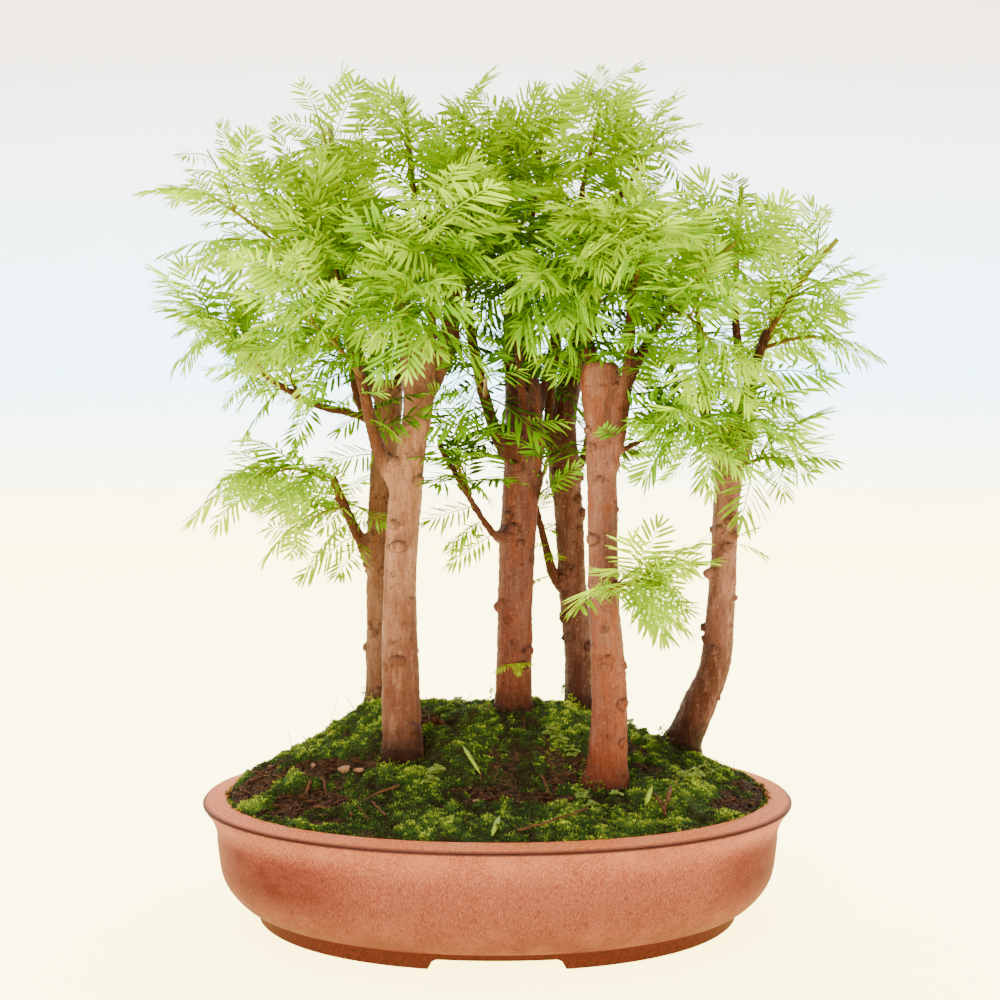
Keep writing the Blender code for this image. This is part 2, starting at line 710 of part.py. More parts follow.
class ShootGrower:
    """Grows the leafy shoots one after another, each clear of all the others."""

    def __init__(self, woods, material):
        self.material = material
        self.obstacles = [mesh_tree(wood) for wood in woods]
        self.shoots = []

    def stem_object(self, path, grow):
        """Stem as a closed tube, grown by a clearance for testing."""
        count = len(path) - 1
        radii = [
            STEM_RADIUS + (STEM_TIP_RADIUS - STEM_RADIUS) * index / count + grow
            for index in range(count + 1)
        ]
        return add_closed_tube(path, radii, STEM_SIDES, "stem")

    def find_stem(self, start, end, draw):
        """Move a stem's foot out of the wood until the stem is clear."""
        for attempt in range(60):
            shift = Vector((draw.uniform(-1, 1), draw.uniform(-1, 1), draw.uniform(-1, 1)))
            goal = end + shift * STEM_WOBBLE * attempt
            ahead = (goal - start).normalized()
            bow = Vector((0.0, 0.0, STEM_BOW * (goal - start).length))
            for step in range(70):
                foot = start + ahead * (step * 0.25)
                path = [foot, (foot + goal) / 2.0 + bow, goal]
                test = self.stem_object(path, GAP)
                tree = mesh_tree(test, 0.05)
                bpy.data.objects.remove(test, do_unlink=True)
                if is_clear(tree, self.obstacles):
                    return path
        return None

    def grow(self, name, start, end, draw):
        """One leafy shoot: stem, side feathers and an end feather fused together."""
        reach = Vector(end) - Vector(start)
        goal = Vector(end) - reach.normalized() * END_SETBACK
        path = self.find_stem(Vector(start), goal, draw)
        if path is None:
            return None
        for _ in range(UNION_TRIES):
            shoot = self.fuse_shoot(name, path, draw)
            if shoot and is_sound(shoot):
                self.obstacles.append(mesh_tree(shoot))
                self.shoots.append(shoot)
                return shoot
            if shoot:
                remove_objects([shoot])
        return None

    def fuse_shoot(self, name, path, draw):
        """Join a stem and the feathers that find room along it."""
        spots = [(1.0, 0.0), (0.64, 1.0)]
        if (path[-1] - path[0]).length > LONG_STEM:
            spots.append((0.4, -1.0))
        own = []
        feathers = []
        for share, hand in spots:
            found = self.find_feather(path, share, hand, own, draw)
            if found is None:
                continue
            bm = bmesh.new()
            feather_mesh(bm, *found, FEATHER_THICK)
            own.append(BVHTree.FromBMesh(bm))
            feathers.append(make_object("feather", bm))
        if not feathers:
            return None
        shoot = self.stem_object(path, 0.0)
        shoot.name = name
        shoot.data.materials.append(self.material)
        combine(shoot, feathers, "UNION", "MANIFOLD")
        keep_largest(shoot)
        return shoot

    def find_feather(self, path, share, hand, own, draw):
        """Search for a free direction for a feather at a point of the stem."""
        place = share * (len(path) - 1)
        index = min(int(place), len(path) - 2)
        spot = path[index].lerp(path[index + 1], place - index)
        along = (path[index + 1] - path[index]).normalized()
        level = along.cross(Z_AXIS)
        if level.length < 0.2:
            level = Vector((math.cos(draw.uniform(0, 6.28)), math.sin(draw.uniform(0, 6.28)), 0))
        level.normalize()
        level = turned(level, along, draw.uniform(-0.6, 0.6))
        for attempt in range(24):
            turn = draw.uniform(-0.12, 0.12) * (1 + attempt)
            roll = draw.uniform(-0.1, 0.1) * (1 + attempt)
            ahead = turned(along, along.cross(level), SIDE_SPREAD * hand)
            ahead = turned(ahead, along, turn)
            ahead.normalize()
            up = turned(Z_AXIS, ahead, roll)
            if abs(up.dot(ahead)) > 0.93:
                up = level
            reach = (SIDE_FEATHER if hand else END_FEATHER) * draw.uniform(0.9, 1.1)
            reach *= 1.0 - 0.015 * attempt
            root = spot - ahead * ROOT_SINK
            bm = bmesh.new()
            feather_mesh(bm, root + ahead * TEST_START, ahead, up, reach - TEST_START,
                         FEATHER_THICK + 2.0 * GAP, GAP)
            tree = BVHTree.FromBMesh(bm)
            bm.free()
            if is_clear(tree, self.obstacles + own):
                return root, ahead, up, reach
        return None


def centre_on_origin(pieces):
    """Move every mesh so that the origin is under the middle of the whole."""
    corners = [vert.co for piece in pieces for vert in piece.data.vertices]
    low = [min(corner[axis] for corner in corners) for axis in range(3)]
    high = [max(corner[axis] for corner in corners) for axis in range(3)]
    shift = Vector((-(low[0] + high[0]) / 2.0, -(low[1] + high[1]) / 2.0, -low[2]))
    for piece in pieces:
        piece.data.transform(Matrix.Translation(shift))


def main():
    """Build the tray, soil, moss, trees and leafy shoots in turn."""
    clear_scene()
    glaze = make_material("glaze", (0.24, 0.085, 0.055), 0.3)
    mesh_plastic = make_material("screen_plastic", (0.05, 0.05, 0.05), 0.6)
    earth = make_material("earth", (0.05, 0.032, 0.022), 0.95)
    moss_green = make_material("moss_green", (0.12, 0.17, 0.03), 0.95)
    bark = make_material("bark", (0.33, 0.19, 0.11), 0.85)
    leaf_green = make_material("leaf_green", (0.2, 0.36, 0.05), 0.55)

    pieces = [build_tray(glaze)]
    pieces.append(build_screen("drain_screen_left", -DRAIN_X, mesh_plastic))
    pieces.append(build_screen("drain_screen_right", DRAIN_X, mesh_plastic))
    soil_cutters = [build_hole_cutters(tree) for tree in TREES.values()]
    pieces.append(build_soil(earth, soil_cutters))
    moss_cutters = [build_hole_cutters(tree) for tree in TREES.values()]
    pieces.append(build_moss(moss_green, moss_cutters))
    woods = [build_tree(name, tree, bark) for name, tree in TREES.items()]
    pieces += woods
    grower = ShootGrower(woods, leaf_green)
    for name, shoots in SHOOTS.items():
        for number, (start, end) in enumerate(shoots, 1):
            draw = random.Random(f"{SEED}_{name}_{number}")
            shoot = grower.grow(f"shoot_{name}_{number}", start, end, draw)
            if shoot is None:
                print("no room for", name, number)
    pieces += grower.shoots
    centre_on_origin(pieces)
    for piece in pieces:
        piece.data.shade_flat()
    triangles = {
        piece.name: sum(len(face.vertices) - 2 for face in piece.data.polygons) for piece in pieces
    }
    print("triangles", sum(triangles.values()), triangles)


main()
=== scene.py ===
"""Dawn redwood bonsai forest in its oval glazed tray: the finished look.

Places are written in millimetres in the tray's own frame, as the solids are: X to the
right, Y away from the viewer, Z up from the surface under the feet. Each piece is moved
to the tray's place in the loaded frame and turned to metres when its mesh is finished.
"""

from __future__ import annotations

import json
import logging
import math
import random
from dataclasses import dataclass, field
from enum import Enum, IntEnum
from typing import Callable, Iterable, Sequence

import bmesh
import bpy
from bmesh.types import BMesh, BMLayerItem, BMVert
from mathutils import Matrix, Vector, noise

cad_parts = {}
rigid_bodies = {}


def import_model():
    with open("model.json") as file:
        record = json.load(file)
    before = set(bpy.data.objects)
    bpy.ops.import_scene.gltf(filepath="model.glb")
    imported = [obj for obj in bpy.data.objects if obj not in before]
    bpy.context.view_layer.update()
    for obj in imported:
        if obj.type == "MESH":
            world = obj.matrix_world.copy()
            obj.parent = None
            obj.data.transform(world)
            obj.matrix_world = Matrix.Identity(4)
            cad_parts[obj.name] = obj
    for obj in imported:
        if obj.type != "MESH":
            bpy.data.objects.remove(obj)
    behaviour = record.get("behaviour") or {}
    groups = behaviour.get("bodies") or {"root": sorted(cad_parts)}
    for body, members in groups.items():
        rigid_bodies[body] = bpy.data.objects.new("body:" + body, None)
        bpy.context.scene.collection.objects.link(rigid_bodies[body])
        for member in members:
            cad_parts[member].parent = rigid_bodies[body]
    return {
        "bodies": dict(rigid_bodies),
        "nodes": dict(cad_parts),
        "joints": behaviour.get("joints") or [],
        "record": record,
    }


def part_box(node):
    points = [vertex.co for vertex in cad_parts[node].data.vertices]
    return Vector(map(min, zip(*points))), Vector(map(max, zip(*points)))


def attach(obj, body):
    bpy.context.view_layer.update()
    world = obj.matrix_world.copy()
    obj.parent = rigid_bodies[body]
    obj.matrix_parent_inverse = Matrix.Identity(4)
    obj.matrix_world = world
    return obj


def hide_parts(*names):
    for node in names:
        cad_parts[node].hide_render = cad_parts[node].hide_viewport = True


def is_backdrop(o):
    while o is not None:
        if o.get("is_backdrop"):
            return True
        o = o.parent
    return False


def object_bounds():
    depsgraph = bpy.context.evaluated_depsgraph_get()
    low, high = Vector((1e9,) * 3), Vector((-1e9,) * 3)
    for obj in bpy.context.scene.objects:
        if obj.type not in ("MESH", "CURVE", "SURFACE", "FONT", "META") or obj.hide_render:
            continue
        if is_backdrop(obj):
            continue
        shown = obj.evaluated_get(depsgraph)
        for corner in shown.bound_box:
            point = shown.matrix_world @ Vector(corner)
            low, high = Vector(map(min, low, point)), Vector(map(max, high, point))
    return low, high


LOG = logging.getLogger("bonsai_forest")

MM = 0.001
BODY = "root"
TONE = "tone"
Z_AXIS = Vector((0.0, 0.0, 1.0))
Pair = tuple[float, float]
Point = tuple[float, float, float]
Quad = tuple[float, float, float, float]
Colour = tuple[float, float, float]
Stops = tuple[tuple[float, Colour], ...]
Draw = random.Random
Line = Sequence[Vector]
Knots = Sequence[tuple[Vector, float]]
Socket = bpy.types.NodeSocket
Material = bpy.types.Material
Piece = bpy.types.Object

OVAL_POWER = 2.09
TRAY_OUTER = (
    (109.3, 82.3, 0.0), (111.2, 83.6, 6.8), (117.0, 88.4, 9.0), (123.0, 93.4, 15.0), (126.6, 96.6, 22.0),
    (128.4, 98.2, 34.0), (128.9, 98.6, 40.5), (131.0, 100.5, 46.5), (134.6, 103.6, 51.6),
    (134.9, 103.9, 53.2),
)
TRAY_INNER = (
    (124.3, 93.2, 54.8), (121.6, 90.6, 50.0), (118.6, 88.2, 32.0), (112.0, 82.4, 17.0),
    (100.0, 72.0, 11.5),
)
FOOT_INNER = ((99.0, 72.6, 5.2), (101.5, 75.0, 0.0))

# Cross sections of a needle: shares of its length and of its width.
FULL_NEEDLE = ((0.28, 0.92), (0.78, 0.8))
SLIM_NEEDLE = ((0.45, 1.0),)


class TreeName(Enum):
    """The six trees, by where they stand."""

    FRONT_LEFT = "front_left"
    BACK_LEFT = "back_left"
    CENTRE = "centre"
    BACK_RIGHT = "back_right"
    FRONT_RIGHT = "front_right"
    RIGHT = "right"


@dataclass(frozen=True)
class TreeShape:
    """One tree's wood.

    Attributes:
        trunk: places with a radius, from the ground up.
        branches: points, each row with a foot and a tip radius.
        stubs: cut ends, each with a place, a direction and a size.
    """

    trunk: tuple[Quad, ...]
    branches: tuple[tuple[tuple[Point, ...], float, float], ...]
    stubs: tuple[tuple[Point, Point, float], ...]


TREES: dict[TreeName, TreeShape] = {
    TreeName.FRONT_LEFT: TreeShape(
        trunk=(
            (-43.2, -10, 71, 11), (-43.4, -10, 80, 9.2), (-44.5, -10, 100, 8.5), (-44.8, -9, 149, 7.6),
            (-42.6, -8, 188, 7.8), (-40.3, -8, 208, 7.3), (-36.6, -8, 232, 7), (-35.4, -8, 246, 8.3),
            (-35, -8, 262, 11),
        ),
        branches=(
            (((-33, -8, 240), (-23, -8, 258), (-21, -9, 277), (-18, -12, 296)), 5.6, 3.4),
            (((-44, -8, 190), (-55, -9, 213), (-61, -11, 239), (-67, -14, 262), (-70, -16, 281)), 3.6, 2),
            (((-40, -10, 252), (-43, -28, 268), (-43, -37, 277)), 3.2, 2.2),
            (((-30, -12, 254), (-29, -30, 278), (-29, -38, 289)), 2.8, 1.9),
            (((-21, -8, 270), (-26, -7, 300), (-38, -8, 326)), 2.8, 1.8),
        ),
        stubs=(
            ((-36, -13, 209), (1, -0.8, 0.3), 3), ((-34, -13.5, 226), (1, -0.6, 0.4), 2.2),
            ((-46, -17, 168), (-0.4, -1, 0.2), 1.6), ((-38, -12, 128), (1, -0.5, 0.2), 1.4),
            ((-61, -12, 240), (-1, -0.3, 0.4), 2),
        ),
    ),
    TreeName.BACK_LEFT: TreeShape(
        trunk=(
            (-59.5, 42, 82, 8.2), (-59, 42, 98, 6.9), (-59.2, 41, 145, 6.6), (-58.6, 41, 188, 6.5),
            (-54.8, 40, 229, 7), (-54.7, 40, 249, 7.4),
        ),
        branches=(
            (((-61, 41, 150), (-66, 38, 164), (-72, 36, 178), (-77, 33, 190), (-81, 30, 201)), 3.8, 2),
            (((-57, 40, 226), (-72, 38, 232), (-92, 36, 237), (-112, 34, 249),
              (-121, 32, 258)), 2.7, 1.6),
            (((-57, 41, 224), (-68, 44, 235), (-73, 46, 254), (-74, 48, 275)), 3, 1.9),
            (((-52, 41, 240), (-48, 55, 262), (-46, 70, 290)), 3, 1.9),
            (((-58, 42, 236), (-68, 54, 256), (-72, 61, 274)), 2.6, 1.7),
        ),
        stubs=(
            ((-78, 32, 191), (0.2, -0.4, 1), 2), ((-64, 36.5, 158), (-0.8, -0.8, 0.1), 3),
            ((-62, 36, 128), (-0.6, -1, 0.2), 1.5),
        ),
    ),
    TreeName.CENTRE: TreeShape(
        trunk=(
            (7.3, 30, 83, 11.4), (7.6, 30, 92, 9.4), (8.1, 29, 111, 8.8), (8.8, 27, 146, 8.5),
            (10.9, 25, 188, 8.7), (12.9, 24, 209, 9.6), (13.6, 24, 218, 10.2), (12.4, 24, 238, 9),
            (10.7, 26, 268, 7.4), (9.8, 28, 292, 5.2),
        ),
        branches=(
            (((10, 23, 206), (2, 19, 215), (-5, 15, 235), (-11, 13, 259), (-15, 13, 284)), 4, 2.2),
            (((11, 20, 212), (14, 12, 226), (11, 8, 245), (8, 6, 285)), 3, 1.8),
            (((15, 27, 222), (22, 30, 240), (29, 36, 277)), 3.2, 1.8),
            (((8, 25, 166), (0, 20, 171), (-8, 17, 181), (-20, 10, 202), (-28, 6, 216)), 2.2, 1.4),
            (((9, 28, 284), (5, 23, 311), (2, 17, 334)), 3.4, 1.9),
            (((11, 29, 284), (16, 28, 306), (17, 26, 327)), 3, 1.8),
            (((12, 30, 274), (6, 58, 298), (1, 80, 316)), 3, 1.8),
        ),
        stubs=(
            ((-1, 22, 138), (-0.9, -0.5, 0.7), 2), ((3, 17, 172), (-0.3, -1, 0.1), 3.2),
            ((10, 19, 118), (0.4, -1, 0.1), 1.8), ((21, 20, 214), (1, -0.3, 0.5), 2.6),
        ),
    ),
    TreeName.BACK_RIGHT: TreeShape(
        trunk=(
            (41.4, 52, 80, 9), (41.2, 51, 92, 7.4), (39.9, 48, 123, 7.2), (37.5, 46, 147, 7),
            (35.6, 44, 184, 6.9), (33.6, 44, 202, 8.2), (32.6, 44, 222, 7.4), (34.5, 46, 240, 6.6),
            (40.3, 50, 266, 5.4), (45.6, 54, 301, 4),
        ),
        branches=(
            (((36, 45, 140), (28, 40, 152), (24, 38, 166), (18, 35, 189)), 3.2, 1.8),
            (((32, 42, 202), (26, 36, 217), (26, 36, 242), (34, 54, 286)), 3.4, 1.9),
            (((35, 46, 200), (44, 56, 211), (48, 66, 228), (48, 70, 241)), 2.8, 1.7),
            (((36, 48, 240), (43, 66, 264), (53, 84, 294), (55, 89, 311)), 3.4, 1.9),
        ),
        stubs=(((33, 39, 141), (-0.8, -0.8, 0.3), 2.4), ((38, 38.5, 208), (0.3, -1, 0.3), 2.2)),
    ),
    TreeName.FRONT_RIGHT: TreeShape(
        trunk=(
            (48.2, -30, 63, 11), (48.8, -30, 73, 8.8), (49.6, -31, 92, 8), (49.1, -32, 112, 7.7),
            (47.1, -32, 145, 7.1), (46.4, -33, 185, 7.1), (45.2, -33, 222, 6.4), (45.1, -33, 240, 8.2),
            (45.6, -33, 249.5, 7.9),
        ),
        branches=(
            (((46, -33, 200), (52, -37, 211), (55, -38, 230), (57, -39, 248), (59, -40, 283)), 3.6, 2.2),
            (((57, -38, 240), (64, -34, 255), (76, -28, 274), (87, -21, 286)), 2.8, 1.8),
            (((51, -34, 209), (68, -30, 218), (86, -26, 233)), 1.7, 1.2),
            (((45, -31, 244), (40, -24, 262), (39, -18, 289), (39, -13, 312), (39, -10, 334)), 3.4, 1.8),
            (((40, -18, 284), (47, -10, 309), (59, -2, 334)), 2.4, 1.6),
        ),
        stubs=(
            ((51, -38, 205), (0.5, -1, 0.2), 3.4), ((44, -38.5, 212), (-0.2, -1, 0), 1.8),
            ((41, -36, 152), (-0.7, -0.8, 0.2), 1.8), ((51, -38, 98), (0.2, -1, 0.1), 1.6),
            ((42, -38, 124), (-0.4, -1, 0.2), 1.5),
        ),
    ),
    TreeName.RIGHT: TreeShape(
        trunk=(
            (90, 30, 66, 10.2), (92.6, 30, 74, 8.6), (99.5, 29, 91, 8.6), (106, 28, 107, 7.6),
            (108.5, 27, 126, 7), (110, 26, 155, 6.4), (110.8, 25, 177, 6.3), (112.2, 24, 200, 6.8),
            (112, 25, 216, 8.6), (111.3, 25, 226, 7.4),
        ),
        branches=(
            (((108, 24, 214), (102, 25, 227), (101, 27, 245), (99, 30, 277)), 3.6, 2.2),
            (((114, 23, 200), (121, 21, 216), (122, 19, 236), (124, 18, 252), (130, 18, 271)), 3, 2.4),
            (((123, 19, 247), (116, 18, 262), (114, 18, 285)), 2.6, 1.8),
            (((112, 29, 214), (124, 50, 235), (132, 68, 261)), 3, 1.8),
        ),
        stubs=(
            ((101.5, 24, 154), (-1, -0.3, 0.6), 2.2), ((115, 20, 172), (1, -0.5, 0.2), 2.4),
            ((107, 18.5, 200), (-0.4, -1, 0.2), 2.4), ((113, 17.5, 188), (0.4, -1, 0.1), 1.8),
            ((103, 22, 101), (0.2, -1, 0.2), 2),
        ),
    ),
}

# Leafy shoots, each from its place on the wood to its tip.
SHOOTS: dict[TreeName, tuple[tuple[Point, Point], ...]] = {
    TreeName.FRONT_LEFT: (
        ((-70, -16, 280), (-82, -32, 328)), ((-69, -15, 274), (-138, -30, 333)),
        ((-68, -14, 268), (-79, 6, 366)), ((-43, -36, 275), (-36, -84, 262)),
        ((-29, -37, 287), (-20, -84, 304)), ((-38, -8, 324), (-44, -5, 376)),
        ((-20, -11, 290), (-11, 4, 362)), ((-62, -12, 245), (-84, -76, 268)),
        ((-18, -12, 294), (-8, -46, 330)),
    ),
    TreeName.BACK_LEFT: (
        ((-112, 34, 249), (-158, 2, 292)), ((-74, 47, 272), (-128, 24, 359)),
        ((-120, 32, 257), (-138, 16, 282)), ((-98, 36, 240), (-122, 72, 272)),
        ((-81, 30, 200), (-128, 4, 205)), ((-75, 34, 186), (-112, 68, 170)),
        ((-72, 60, 273), (-110, 104, 322)), ((-46, 69, 288), (-66, 104, 354)),
        ((-47, 62, 276), (-80, 62, 374)),
    ),
    TreeName.CENTRE: (
        ((-15, 13, 282), (-8, -22, 315)), ((-13, 16, 192), (-24, -6, 214)),
        ((-6, 14, 238), (-4, -52, 244)), ((3, 18, 330), (7, 5, 377)),
        ((17, 26, 325), (24, 18, 379)), ((2, 78, 314), (34, 96, 372)),
        ((0, 78, 312), (-20, 110, 368)), ((8, 6, 283), (24, -58, 272)),
    ),
    TreeName.BACK_RIGHT: (
        ((45, 54, 298), (42, 76, 345)), ((55, 88, 308), (80, 112, 367)),
        ((53, 84, 294), (104, 108, 318)), ((19, 36, 187), (26, 12, 216)), ((48, 70, 240), (80, 104, 272)),
    ),
    TreeName.FRONT_RIGHT: (
        ((39, -10, 332), (50, -16, 376)), ((58, -3, 330), (82, -8, 368)),
        ((59, -40, 281), (42, -76, 308)), ((58, -40, 276), (64, -85, 302)),
        ((86, -22, 284), (112, -44, 309)), ((39, -18, 284), (16, -80, 280)),
        ((78, -28, 274), (90, -78, 250)), ((47, -40, 150), (66, -72, 154)),
        ((85, -26, 232), (84, -52, 213)),
    ),
    TreeName.RIGHT: (
        ((114, 18, 283), (116, 10, 338)), ((130, 18, 269), (160, 4, 312)),
        ((127, 18, 262), (164, -8, 266)), ((99, 30, 275), (98, 56, 322)),
        ((131, 67, 260), (164, 104, 301)), ((116, 20, 205), (140, -12, 210)),
        ((111, 20, 220), (104, -42, 236)),
    ),
}

# Shoots that end in a pruned blunt stem.
BLUNT_SHOOTS = (
    (TreeName.FRONT_LEFT, 3), (TreeName.FRONT_LEFT, 6), (TreeName.RIGHT, 1), (TreeName.RIGHT, 2),
)


@dataclass(frozen=True)
class TrayPlace:
    """Where the tray's own frame lies in the loaded model."""

    centre: Vector

    @classmethod
    def from_frame(cls) -> TrayPlace:
        """Read the tray's middle from its solid."""
        low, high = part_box("tray")
        return cls(Vector(((low.x + high.x) / 2.0, (low.y + high.y) / 2.0, 0.0)))

    @property
    def matrix(self) -> Matrix:
        """Turn millimetres in the tray's frame into metres in the model's."""
        return Matrix.Translation(self.centre) @ Matrix.Scale(MM, 4)


def scaled(colour: Colour, factor: float) -> Colour:
    """A colour made lighter or darker by a factor."""
    return tuple(factor * part for part in colour)


class NodeGraph:
    """Small helper that builds a material's node tree from the top down."""

    def __init__(self, name: str) -> None:
        """Start a material with one shader."""
        self.material = bpy.data.materials.new(name)
        self.material.use_nodes = True
        self.tree = self.material.node_tree
        self.shader = self.tree.nodes["Principled BSDF"]

    def node(self, kind: str, **settings: object) -> bpy.types.Node:
        """Add a node and set its properties.

        Args:
            kind: the node's type.
            settings: property names with their values.

        Returns:
            The new node.
        """
        made = self.tree.nodes.new(kind)
        for key, value in settings.items():
            setattr(made, key, value)
        return made

    def feed(self, target: Socket, value: Socket | Colour | float) -> None:
        """Join a socket to another one, or give it a plain colour or number."""
        if isinstance(value, Socket):
            self.tree.links.new(value, target)
        else:
            target.default_value = (*value, 1.0) if isinstance(value, tuple) else value

    def place(self, scale: Point = (1.0, 1.0, 1.0)) -> Socket:
        """Object coordinates in millimetres; a scale says how fast a pattern runs on each axis."""
        coordinate = self.node("ShaderNodeTexCoord")
        mapping = self.node("ShaderNodeMapping")
        per_mm = 1.0 / MM
        mapping.inputs["Scale"].default_value = [per_mm * value for value in scale]
        self.feed(mapping.inputs["Vector"], coordinate.outputs["Object"])
        return mapping.outputs["Vector"]

    def noise(self, where: Socket, scale: float, detail: float = 4.0, rough: float = 0.55) -> Socket:
        """Noise value at a scale in cycles per millimetre."""
        made = self.node("ShaderNodeTexNoise")
        made.inputs["Scale"].default_value = scale
        made.inputs["Detail"].default_value = detail
        made.inputs["Roughness"].default_value = rough
        self.feed(made.inputs["Vector"], where)
        return made.outputs["Fac"]

    def colours(self, value: Socket, stops: Sequence[tuple[float, Colour]]) -> Socket:
        """Colour ramp through pairs of position and colour."""
        made = self.node("ShaderNodeValToRGB")
        band = made.color_ramp
        while len(band.elements) < len(stops):
            band.elements.new(0.5)
        for element, (spot, colour) in zip(band.elements, stops):
            element.position = spot
            element.color = (*colour, 1.0)
        self.feed(made.inputs["Fac"], value)
        return made.outputs["Color"]

    def ramp(self, value: Socket, stops: Sequence[Pair]) -> Socket:
        """Grey ramp through pairs of position and level."""
        return self.colours(value, [(spot, (grey, grey, grey)) for spot, grey in stops])

    def spots(
        self, where: Socket, pattern: Sequence[float], low: float, high: float,
        levels: Pair = (0.0, 1.0),
    ) -> Socket:
        """Noise sharpened to spots.

        Args:
            where: the place to read the noise at.
            pattern: the noise's scale, detail and roughness.
            low: noise value that gets the first level.
            high: noise value that gets the second level.
            levels: the two grey levels.

        Returns:
            The grey of the spots.
        """
        return self.ramp(self.noise(where, *pattern), ((low, levels[0]), (high, levels[1])))

    def mix(
        self, share: Socket | float, first: Socket | Colour, second: Socket | Colour, blend: str = "MIX"
    ) -> Socket:
        """Mix two colours by a share."""
        made = self.node("ShaderNodeMix", data_type="RGBA", blend_type=blend)
        for index, value in ((0, share), (6, first), (7, second)):
            self.feed(made.inputs[index], value)
        return made.outputs[2]

    def layer(
        self, colour: Socket | Colour, share: Socket, strength: Socket | float, over: Socket | Colour
    ) -> Socket:
        """Lay a second colour over the first where a share and a strength allow."""
        return self.mix(self.times(share, strength), colour, over)

    def tint(self, colour: Socket | Colour, value: Socket) -> Socket:
        """Multiply a colour by a grey value."""
        return self.mix(1.0, colour, value, "MULTIPLY")

    def math(self, operation: str, first: Socket, second: Socket | float) -> Socket:
        """One arithmetic step on two values."""
        made = self.node("ShaderNodeMath", operation=operation)
        self.feed(made.inputs[0], first)
        self.feed(made.inputs[1], second)
        return made.outputs[0]

    def times(self, first: Socket, second: Socket | float) -> Socket:
        """Product of two values."""
        return self.math("MULTIPLY", first, second)

    def plus(self, first: Socket, second: Socket | float) -> Socket:
        """Sum of two values."""
        return self.math("ADD", first, second)

    def axis(self, where: Socket, name: str) -> Socket:
        """One axis of a place."""
        made = self.node("ShaderNodeSeparateXYZ")
        self.feed(made.inputs[0], where)
        return made.outputs[name]

    def attribute(self, name: str) -> Socket:
        """A value stored on the mesh."""
        return self.node("ShaderNodeAttribute", attribute_name=name).outputs["Fac"]

    def bump(self, value: Socket, strength: float, distance: float) -> None:
        """Feed the shader's normal from a height value; distance is in millimetres."""
        made = self.node("ShaderNodeBump")
        made.inputs["Strength"].default_value = strength
        made.inputs["Distance"].default_value = distance * MM
        self.feed(made.inputs["Height"], value)
        self.feed(self.shader.inputs["Normal"], made.outputs["Normal"])

    def finish(self, colour: Socket, roughness: Socket | float, **sockets: float) -> Material:
        """Set the shader's main inputs and hand back the material."""
        self.feed(self.shader.inputs["Base Color"], colour)
        self.feed(self.shader.inputs["Roughness"], roughness)
        for key, value in sockets.items():
            self.shader.inputs[key.replace("_", " ")].default_value = value
        return self.material


